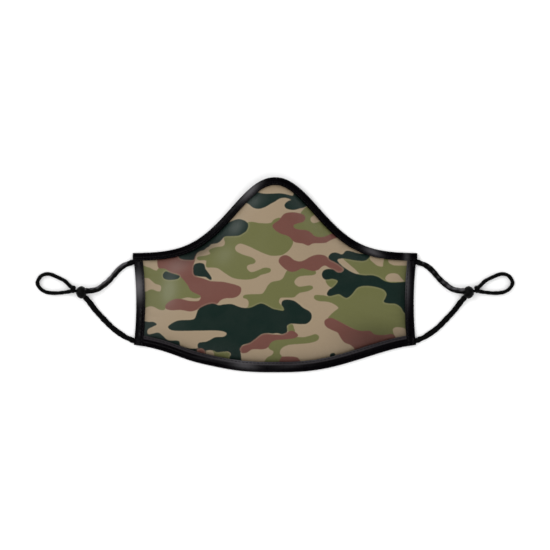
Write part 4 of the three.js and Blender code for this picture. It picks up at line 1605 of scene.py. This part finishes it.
@dataclass
class MaskCloth:
    """The three plies of cloth, domed and bound at their edges."""

    columns: int = 226
    rows: int = 150
    felt_grid: tuple = (40, 70)
    lining_grid: tuple = (60, 90)
    flat: tuple = (0.216, 0.158)
    top_tuck: float = 0.00265
    bottom_tuck: float = 0.0012
    side_tuck: float = 0.005
    outer: tuple = (0.00035, 0.0008)
    filter: tuple = (-0.0002, 0.00015)
    lining: tuple = (-0.0008, -0.0004)
    side_crowding: float = 0.12
    edge_pucker: float = 0.00022
    side_pucker: float = 0.00025
    roll: float = 0.00045
    valley: float = 0.0011
    ridge: float = 0.0008
    fold_spread: float = 0.006
    fade_in: float = 0.16
    valley_place: tuple = (0.068, -0.036)
    valley_slope: float = 0.35
    valley_start: tuple = (0.045, 0.062)
    valley_stop: tuple = (0.098, 0.084)
    ridge_place: tuple = (-0.083, -0.01)
    ridge_slope: float = 0.12
    ridge_reach: tuple = (0.026, 0.012)
    deepest_print: float = 4.0

    def stations(self, low: float, high: float, count: int) -> tuple[Array, Array]:
        """Places across the cloth, with two tucked into the tape at each end.

        Args:
            low: The first share.
            high: The last share.
            count: How many places lie in the open.

        Returns:
            Each place's share, and how far it is tucked, from 0 in the open to 1 at the cloth's
            cut edge.
        """
        open_part = np.linspace(low, high, count)
        share = np.concatenate([[low, low], open_part, [high, high]])
        tucked = np.concatenate([[1, 0.5], np.zeros(count), [0.5, 1]])
        return share, tucked

    def relief(self, x: Array, y: Array, share_x: Array, share_y: Array) -> Array:
        """Small folds that the sewing pulls into the cloth, fading to nothing inside the tapes.

        Args:
            x: Places across.
            y: Places up.
            share_x: Shares from the middle to the side edges, from -1 to 1.
            share_y: Shares from the chin edge to the nose edge, from 0 to 1.

        Returns:
            How far the cloth stands out or in at each place.
        """
        # The waves below are in radians a metre, and wander so that no two are alike.
        rise = np.clip(4 * share_y * (1 - share_y), 0, 1)
        across = np.clip(1 - share_x**2, 0, 1)
        inside = smoothstep(np.minimum(rise, across * 2.2), 0.0, self.fade_in)
        near_edge = smoothstep(rise, 0.5, 0.02) * inside
        puckers = np.sin(x * 780 + 1.7 * np.sin(x * 160)) * near_edge * self.edge_pucker
        near_side = smoothstep(np.abs(share_x), 0.8, 0.97) * inside
        pulls = np.sin(y * 620 + 1.2 * np.sin(y * 210)) * near_side * self.side_pucker
        puckers = puckers + pulls
        broad = np.sin(x * 92 + y * 61 + 0.6) * np.sin(y * 83 - x * 37 + 1.1) * self.roll
        (valley_x, valley_y), (ridge_x, ridge_y) = self.valley_place, self.ridge_place
        off_valley = (y - valley_y + (x - valley_x) * self.valley_slope) / self.fold_spread
        valley = np.exp(-(off_valley**2)) * smoothstep(x, *self.valley_start)
        valley = valley * smoothstep(x, *self.valley_stop)
        off_ridge = (x - ridge_x + (y - ridge_y) * self.ridge_slope) / self.fold_spread
        ridge = np.exp(-(off_ridge**2)) * smoothstep(np.abs(y - ridge_y), *self.ridge_reach)
        return (broad - self.valley * valley + self.ridge * ridge) * inside + puckers

    def surface(self, rows: int, columns: int) -> tuple[Array, Array]:
        """The middle of the plies.

        Args:
            rows: Open rows from the chin to the nose.
            columns: Open columns from side to side.

        Returns:
            The grid's points and their outward directions.
        """
        share_x, tuck_x = self.stations(-1.0, 1.0, columns)
        share_y, tuck_y = self.stations(0.0, 1.0, rows)
        crowded = share_x * (1 - self.side_crowding * (1 - share_x**2))
        share_x = np.where(tuck_x > 0, share_x, crowded)
        u, v = np.meshgrid(share_x, share_y)
        tucked_u, tucked_v = np.meshgrid(tuck_x, tuck_y)
        ease = SHAPE.tape_ease
        high_open = SHAPE.inset_edge(SHAPE.top_edge, SHAPE.top_tape + ease, -1)
        low_open = SHAPE.inset_edge(SHAPE.bottom_edge, SHAPE.bottom_tape + ease, 1)
        high_tuck = SHAPE.inset_edge(SHAPE.top_edge, self.top_tuck, -1)
        low_tuck = SHAPE.inset_edge(SHAPE.bottom_edge, self.bottom_tuck, 1)
        corner = SHAPE.bottom_half_width * u
        level = low_open(corner) + (high_open(corner) - low_open(corner)) * v
        inset = (SHAPE.side_tape + ease) * (1 - tucked_u) + self.side_tuck * tucked_u
        x = u * (SHAPE.half_width(level) - inset)
        low = low_open(x) * (1 - tucked_v) + low_tuck(x) * tucked_v
        high = high_open(x) * (1 - tucked_v) + high_tuck(x) * tucked_v
        y = low + (high - low) * v
        rise = (4 * v * (1 - v)) ** SHAPE.dome_rise_power
        dome = (1 - np.abs(u) ** SHAPE.dome_side_power) * rise
        z = SHAPE.mid_height + SHAPE.lift(x) * smoothstep(v, 0, 1) + SHAPE.dome_height * dome
        points = np.stack([x, y, z], axis=-1)
        normals = unit(np.cross(np.gradient(points, axis=1), np.gradient(points, axis=0)))
        points = points + normals * self.relief(x, y, u, v)[..., None]
        normals = unit(np.cross(np.gradient(points, axis=1), np.gradient(points, axis=0)))
        return points, normals

    def ply(self, name: str, between: tuple, rows: int, columns: int) -> bpy.types.Object:
        """One ply: a closed slab of cloth between two distances from the middle.

        Args:
            name: The piece's name.
            between: The two distances.
            rows: Open rows.
            columns: Open columns.

        Returns:
            The piece, with its UV map in metres along its own surface.
        """
        middle, normals = self.surface(rows, columns)
        tall, wide = middle.shape[:2]
        layers = [middle + normals * distance for distance in between]
        points = np.vstack([layer.reshape(-1, 3) for layer in layers])
        size = tall * wide
        faces = [tuple(reversed(face)) for face in grid_faces(tall, wide)]
        faces += grid_faces(tall, wide, first=size)
        rim = list(range(wide)) + [r * wide + wide - 1 for r in range(1, tall)]
        rim += [(tall - 1) * wide + c for c in range(wide - 2, -1, -1)]
        rim += [r * wide for r in range(tall - 2, 0, -1)]
        faces += [(a, b, b + size, a + size) for a, b in zip(rim, rim[1:] + rim[:1])]
        piece = new_piece(name, points, faces)
        steps_up = np.linalg.norm(np.diff(middle, axis=0), axis=2)
        up = np.concatenate([np.zeros((1, wide)), np.cumsum(steps_up, axis=0)])
        up = up - up[tall // 2]
        steps_out = np.linalg.norm(np.diff(middle, axis=1), axis=2)
        side = np.concatenate([np.zeros((tall, 1)), np.cumsum(steps_out, axis=1)], axis=1)
        side = side - side[:, wide // 2][:, None]
        flat = np.stack([side, up], axis=-1).reshape(-1, 2)
        set_uv(piece, np.vstack([flat, flat]))
        return piece

    @staticmethod
    def cloth_area(piece: bpy.types.Object) -> float:
        """The area of one face of a slab of cloth."""
        return sum(face.area for face in piece.data.polygons) / 2

    def print_on(self, piece: bpy.types.Object) -> None:
        """Store how far each point is inside each ink.

        A blotch covers the inks under its own and leaves those over it out.

        Args:
            piece: The printed cloth.
        """
        count = len(piece.data.vertices)
        flat = vertex_places(piece)[:, :2]
        order = (O, B, D)
        drawn = {ink: np.full(count, -1.0 / MM) for ink in order}
        for blotch in PRINT_BLOTCHES:
            depth = blotch.depth(flat)
            covered = order.index(blotch.ink) if blotch.ink in order else -1
            for level, ink in enumerate(order):
                if level == covered:
                    drawn[ink] = np.maximum(drawn[ink], depth)
                elif level > covered:
                    drawn[ink] = np.minimum(drawn[ink], -depth)
        for ink, depth in drawn.items():
            inside = np.clip(depth, -self.deepest_print, self.deepest_print)
            set_values(piece, "ink_" + ink.value, inside)

    def paint_seam_shade(self, piece: bpy.types.Object) -> None:
        """Store painted shade: how much darker the cloth's colour is painted where it turns down
        into the tapes and in its folds.

        Args:
            piece: The printed cloth.
        """
        x, y, _ = vertex_places(piece).T
        chin = y - SHAPE.inset_edge(SHAPE.bottom_edge, SHAPE.bottom_tape, 1)(x)
        nose = SHAPE.inset_edge(SHAPE.top_edge, SHAPE.top_tape, -1)(x) - y
        left = x + SHAPE.half_width(y) - SHAPE.side_tape
        right = SHAPE.half_width(y) - SHAPE.side_tape - x
        # Painted shade: darker near each tape, fading over a few millimetres, and in the painted
        # fold patches.
        shade = np.zeros(len(x))
        under_chin = 0.13 + 0.17 * smoothstep(x, -0.08, -0.02)
        for distance, deep, reach in (
            (chin, 0.42, 0.0016),
            (chin, under_chin, 0.0075),
            (nose, 0.34, 0.0018),
            (left, 0.30, 0.0016),
            (right, 0.42, 0.0032),
        ):
            shade = 1 - (1 - shade) * (1 - deep * np.exp(-np.clip(distance, 0, None) / reach))
        for fold in PAINTED_FOLD_SHADES:
            shade = 1 - (1 - shade) * (1 - fold.at(x, y))
        set_values(piece, "painted_seam_shade", shade)

    def build(self) -> None:
        """Make and dress the three plies."""
        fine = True
        rows, columns = (self.rows, self.columns) if fine else (self.rows // 2, self.columns // 2)
        outer = self.ply("printed_cloth", self.outer, rows, columns)
        self.print_on(outer)
        # Painted shade by the tapes and in folds.
        self.paint_seam_shade(outer)
        # Painted highlights on the printed cloth, patch by patch.
        lay_painted_highlights(outer, CLOTH_PAINTED_HIGHLIGHTS)
        felt = self.ply("filter_ply", self.filter, *self.felt_grid)
        inner = self.ply("lining_cloth", self.lining, *self.lining_grid)
        for piece, finish, node, slot in (
            (outer, PRINT, "outer_panel", "camo_cloth"),
            (felt, FELT, "filter_layer", "filter_felt"),
            (inner, LINING, "lining_panel", "lining_cloth"),
        ):
            piece.data.materials.append(finish.material())
            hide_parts(node)
            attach(piece, "mask")


# ---- Tapes and sewing ----


@dataclass
class Tape:
    """A bias tape folded round an edge, crowned on top, with its seam and its ribs.

    Its stitches pucker it.
    """

    name: str
    node: str
    width: float
    reach: float
    thickness: float = 0.00055
    height: float = 0.0032
    fold: float = 0.0017
    crown: float = 0.0003
    lip: float = 0.0
    lip_drop: float = 0.00035
    seam_inset: float = 0.0011
    seam_depth: float = 0.00012
    cut_edge_drop: float = 0.0002
    pucker: float = 0.00012
    stitch: float = 0.0027
    edge_wave: float = 0.00007

    def section(self) -> tuple[Array, Array]:
        """The tape's closed section round the fold.

        Returns:
            Points as distance in from the fold and height, and a mask of the flat inner lip.
        """
        w, t, h, fold = self.width, self.thickness, self.height, self.fold
        roll = w - self.lip
        turn = np.linspace(-math.pi / 2, -math.pi * 1.5, 15)
        bend = np.stack([fold + fold * np.cos(turn), h / 2 + (h / 2) * np.sin(turn)], axis=1)
        across = np.linspace(0.0026, w, 20)
        share = np.clip((across - fold) / (roll - fold), 0, 1)
        top = h + self.crown * np.sin(share**0.8 * math.pi)
        seam = np.exp(-(((across - (w - self.seam_inset)) / 0.0005) ** 2)) * self.seam_depth
        step = smoothstep(across, roll - 0.0004, roll + 0.0003) * self.lip_drop if self.lip else 0.0
        top = top - seam - step - smoothstep(across, w - 0.0006, w) * self.cut_edge_drop
        upper = np.stack([across, top], axis=1)
        rim = [[w + 0.00005, h - t + 0.0001], [w - 0.0003, h - t - 0.00005]]
        under = np.array(rim + [[w * 0.6, h - t], [0.0012, h - t]])
        ends = [[t, h - t * 1.6], [t, t * 1.6]]
        inner = np.array(ends + [[0.0012, t], [w * 0.6, t], [w - 0.0002, t]])
        base = [[w * share, 0.0] for share in (0.75, 0.5, 0.3)]
        lower = np.array([[w, t * 0.5], [w - 0.0001, 0.0]] + base)
        points = np.vstack([lower, bend, upper, under, inner])
        lip = np.zeros(len(points))
        if self.lip:
            first = len(lower) + len(bend)
            lip[first : first + len(upper)] = smoothstep(across, roll - 0.0003, roll + 0.0003)
            lip[first + len(upper) : first + len(upper) + 2] = 1.0
        return points, lip

    def sweep(self, place: Placing, count: int) -> bpy.types.Object:
        """Run the section along the edge.

        Args:
            place: Gives points from a share along the edge, a distance in from the fold and a
                height.
            count: How many sections.

        Returns:
            The tape's piece.
        """
        section, lip = self.section()
        share = np.linspace(0, 1, count)
        along = share * self.reach
        s = np.repeat(section[None, :, 0], count, axis=0)
        z = np.repeat(section[None, :, 1], count, axis=0)
        facing_up = smoothstep(z, self.height * 0.55, self.height * 0.95)
        on_top = facing_up * smoothstep(s, 0.0004, 0.002)
        wave = np.sin(along * 2 * math.pi / self.stitch)[:, None] * 0.6
        drift = (np.sin(along * 410) * 0.5 + np.sin(along * 173 + 1.0) * 0.8)[:, None]
        near_seam = np.exp(-(((s - (self.width - 0.0016)) / 0.0014) ** 2))
        z = z + self.pucker * on_top * (wave * near_seam + drift * 0.7)
        edge_wave = (np.sin(along * 520 + 0.7 * np.sin(along * 190)) * self.edge_wave)[:, None]
        s = s + edge_wave * smoothstep(s, self.width * 0.8, self.width) * on_top
        points = place(share[:, None] * np.ones_like(s), s, z)
        round_count = section.shape[0]
        faces = grid_faces(count, round_count, wrap=True)
        last = (count - 1) * round_count
        faces += [tuple(range(round_count)), tuple(range(last, count * round_count))[::-1]]
        piece = new_piece(self.name, points.reshape(-1, 3), faces)
        for cap in piece.data.polygons[-2:]:
            cap.use_smooth = False
        girth = lengths_along(section)
        u, v = np.meshgrid(along, girth, indexing="ij")
        set_uv(piece, np.stack([u.ravel(), v.ravel()], axis=1))
        set_values(piece, "lip", np.tile(lip, count))
        # Painted highlights on the tape, patch by patch.
        lay_painted_highlights(piece, TAPE_PAINTED_HIGHLIGHTS)
        piece.data.materials.append(TAPE.material())
        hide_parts(self.node)
        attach(piece, "mask")
        return piece


STITCH_AIM = 0.0001


@dataclass
class Stitches:
    """A row of lockstitches: short plump threads, each dipping into the cloth at both ends."""

    name: str
    node: str
    length: float = 0.0025
    gap: float = 0.0004
    width: float = 0.00046
    height: float = 0.00042

    def model(self) -> tuple[Array, list]:
        """Model one stitch with its length along X, to be copied along the seam.

        Returns:
            Its points and faces.
        """
        bpy.ops.object.select_all(action="DESELECT")
        bpy.ops.mesh.primitive_cylinder_add(
            vertices=6, radius=0.5, depth=1.0, end_fill_type="TRIFAN", rotation=(0, math.pi / 2, 0)
        )
        thread = bpy.context.object
        bpy.ops.object.transform_apply(location=False, rotation=True, scale=False)
        bpy.ops.object.mode_set(mode="EDIT")
        bpy.ops.mesh.select_all(action="DESELECT")
        bpy.ops.object.mode_set(mode="OBJECT")
        for edge in thread.data.edges:
            ends = [thread.data.vertices[i].co.x for i in edge.vertices]
            edge.select = abs(ends[0] - ends[1]) > 0.9
        bpy.ops.object.mode_set(mode="EDIT")
        bpy.ops.mesh.select_mode(type="EDGE")
        bpy.ops.mesh.subdivide(number_cuts=3)
        bpy.ops.object.mode_set(mode="OBJECT")
        points = np.array([v.co for v in thread.data.vertices])
        faces = [tuple(f.vertices) for f in thread.data.polygons]
        bpy.data.objects.remove(thread)
        plump = np.sqrt(np.clip(1 - (np.abs(points[:, 0]) * 1.9) ** 2.2, 0.1, 1))
        points[:, 1] *= plump
        points[:, 2] = points[:, 2] * plump - 0.5 * (1 - plump)
        return points * np.array([self.length, self.width, self.height]), faces

    def sew(self, line: Array) -> bpy.types.Object:
        """Copy the stitch along a line.

        Args:
            line: The seam's points on the tape.

        Returns:
            The row of stitches as one piece.
        """
        points, faces = self.model()
        reach = lengths_along(line)
        pitch = self.length + self.gap
        count = max(1, int(reach[-1] / pitch))
        marks = (np.arange(count) + 0.5) * reach[-1] / count
        all_points, all_faces, lengths = [], [], []
        for mark in marks:
            centre, ahead, behind = (
                np.array([np.interp(at, reach, column) for column in line.T])
                for at in (mark, mark + STITCH_AIM, mark - STITCH_AIM)
            )
            along = unit(ahead - behind)
            across = unit(np.cross(UP, along))
            above = np.cross(along, across)
            first = len(all_points) * len(points)
            turned = points[:, :1] * along + points[:, 1:2] * across + points[:, 2:] * above
            all_points.append(centre + turned)
            all_faces += [tuple(i + first for i in face) for face in faces]
            lengths.append(np.stack([mark + points[:, 0], points[:, 1]], axis=1))
        piece = new_piece(self.name, np.vstack(all_points), all_faces)
        set_uv(piece, np.vstack(lengths))
        piece.data.materials.append(THREAD.material())
        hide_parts(self.node)
        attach(piece, "mask")
        return piece


@dataclass
class Bindings:
    """The four tapes round the mask with their seams, and the tacks over the elastic's ends."""

    top_length: float = 0.27
    chin_length: float = 0.215
    side_length: float = 0.066
    top_steps: int = 420
    side_steps: int = 130
    long_seam_steps: int = 600
    side_seam_steps: int = 200
    seam_ends: float = 0.004
    thread_lift: float = 0.00012
    tack_turns: int = 11
    tack_steps: int = 120
    tack_inset: float = 0.0023
    tack_swing: float = 0.00065
    tack_span: float = 0.0046
    tack_lift: float = 0.00016
    tack_stitch: float = 0.0011
    tack_thread: float = 0.000506
    loops: tuple = ()

    def along_edge(
        self, edge: Edge, inwards: int, reach: float, lift: Callable[[Array], Array]
    ) -> Placing:
        """Places on the nose or chin edge, with the ends cut square to X.

        Args:
            edge: The edge's place as a function of x.
            inwards: -1 on the nose edge and 1 on the chin edge.
            reach: Half the tape's span along X.
            lift: How far the edge stands off the table.

        Returns:
            A function from shares, distances inwards and heights to points.
        """

        def place(share: Array, s: Array, z: Array) -> Array:
            """Points on the tape.

            Args:
                share: Shares of the tape's length.
                s: Distances in from the fold.
                z: Heights over the edge.

            Returns:
                One point for each.
            """
            x = (share * 2 - 1) * reach
            inward = SHAPE.inward(edge, x, inwards)
            square = smoothstep(np.abs(x), reach - 2 * SHAPE.side_tape, reach)
            dx = inward[..., 0] * (1 - square)
            dy = inward[..., 1] * (1 - square) + inwards / np.abs(inward[..., 1]) * square
            inside = x + s * dx
            return np.stack([inside, edge(x) + s * dy, z + lift(inside)], axis=-1)

        return place

    def along_side(self, side: Side) -> Placing:
        """Places up a short side, from the chin edge to just under the nose tape.

        Args:
            side: The short side.

        Returns:
            A function from shares, distances inwards and heights to points.
        """
        under = SHAPE.inset_edge(SHAPE.top_edge, SHAPE.top_tape + SHAPE.butt_gap, -1)
        low_y, high_y = SHAPE.bottom_corner, float(under(np.array(SHAPE.top_half_width)))

        def place(share: Array, s: Array, z: Array) -> Array:
            """Points on the tape.

            Args:
                share: Shares of the tape's length, from the chin up.
                s: Distances in from the fold.
                z: Heights over the table.

            Returns:
                One point for each.
            """
            x = SHAPE.half_width(low_y + (high_y - low_y) * share) - s
            low, high = SHAPE.bottom_edge(x), under(x)
            return np.stack([side.value * x, low + (high - low) * share, z], axis=-1)

        return place

    def seam(self, tape: Tape, place: Placing, count: int) -> Array:
        """The line of a tape's stitches.

        Args:
            tape: The tape.
            place: Where the tape's points lie.
            count: How many points the line has.

        Returns:
            The line's points.
        """
        share = np.linspace(self.seam_ends, 1 - self.seam_ends, count)
        inset = np.full(count, tape.width - tape.seam_inset)
        drop = tape.lip_drop if tape.lip else 0
        return place(share, inset, np.full(count, tape.height + self.thread_lift - drop))

    def build_long(self) -> None:
        """Make the nose and chin tapes with their seams."""
        chin_y = float(SHAPE.bottom_edge(np.array(SHAPE.bottom_half_width))) + SHAPE.bottom_tape
        chin_reach = float(SHAPE.half_width(np.array(chin_y))) - SHAPE.side_tape
        chin_reach += 3 * SHAPE.butt_gap
        top = Tape("nose_tape", "top_binding", SHAPE.top_tape, self.top_length, crown=0.00035)
        chin = Tape("chin_tape", "bottom_binding", SHAPE.bottom_tape, self.chin_length, lip=0.0025)
        on_top = self.along_edge(SHAPE.top_edge, -1, SHAPE.top_half_width, SHAPE.lift)
        on_chin = self.along_edge(SHAPE.bottom_edge, 1, chin_reach, lambda x: x * 0)
        for tape, place, node in (
            (top, on_top, "top_seam_thread"),
            (chin, on_chin, "bottom_seam_thread"),
        ):
            tape.sweep(place, self.top_steps)
            line = self.seam(tape, place, self.long_seam_steps)
            Stitches(tape.name.replace("tape", "stitches"), node).sew(line)
            log.info("%s: %.0f mm of tape", tape.name, tape.reach / MM)

    def build_side(self, loop: EarLoop) -> None:
        """Make one side's tape, its seam and its two bar tacks.

        Args:
            loop: The ear loop whose ends this side holds.
        """
        label = loop.side.label
        tape = Tape(
            f"{label}_side_tape",
            f"{label}_side_binding",
            SHAPE.side_tape,
            self.side_length,
            crown=0.00015,
        )
        place = self.along_side(loop.side)
        tape.sweep(place, self.side_steps)
        line = self.seam(tape, place, self.side_seam_steps)
        Stitches(f"{label}_side_stitches", f"{label}_side_seam_thread").sew(line)
        for level in Level:
            Stitches(
                f"{label}_{level.value}_bar_stitches",
                f"{label}_{level.value}_bar_tack",
                length=self.tack_stitch,
                gap=0.0,
                width=self.tack_thread,
            ).sew(self.zigzag(loop, level))
        log.info("%s: sewn, with two bar tacks", tape.name)

    def zigzag(self, loop: EarLoop, level: Level) -> Array:
        """The line of a bar tack, back and forth over a sewn elastic end.

        Args:
            loop: The ear loop.
            level: Its upper or its lower end.

        Returns:
            The line's points, evenly spaced.
        """
        y = loop.exit_height(level)
        edge = float(SHAPE.half_width(np.array(y)))
        corners = []
        for i in range(self.tack_turns):
            at = y + (i / (self.tack_turns - 1) - 0.5) * self.tack_span
            out = edge - self.tack_inset + (self.tack_swing if i % 2 else -self.tack_swing)
            corners.append([loop.side.value * out, at, SHAPE.tape_height + self.tack_lift])
        return evenly(np.array(corners), self.tack_steps)

    def build(self) -> None:
        """Make all four tapes."""
        self.build_long()
        for loop in self.loops:
            self.build_side(loop)


def main() -> None:
    """Set up the studio, then make the mask piece by piece."""
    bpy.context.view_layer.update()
    studio = Studio()
    studio.place_camera()
    loops = tuple(EarLoop(side) for side in Side)
    for loop in loops:
        loop.build()
    studio.lay_table()
    studio.light()
    MaskCloth().build()
    Bindings(loops=loops).build()
    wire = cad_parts["nose_wire"]
    wire.data.materials.clear()
    wire.data.materials.append(WIRE.material())


if __name__ == "__main__":
    main()
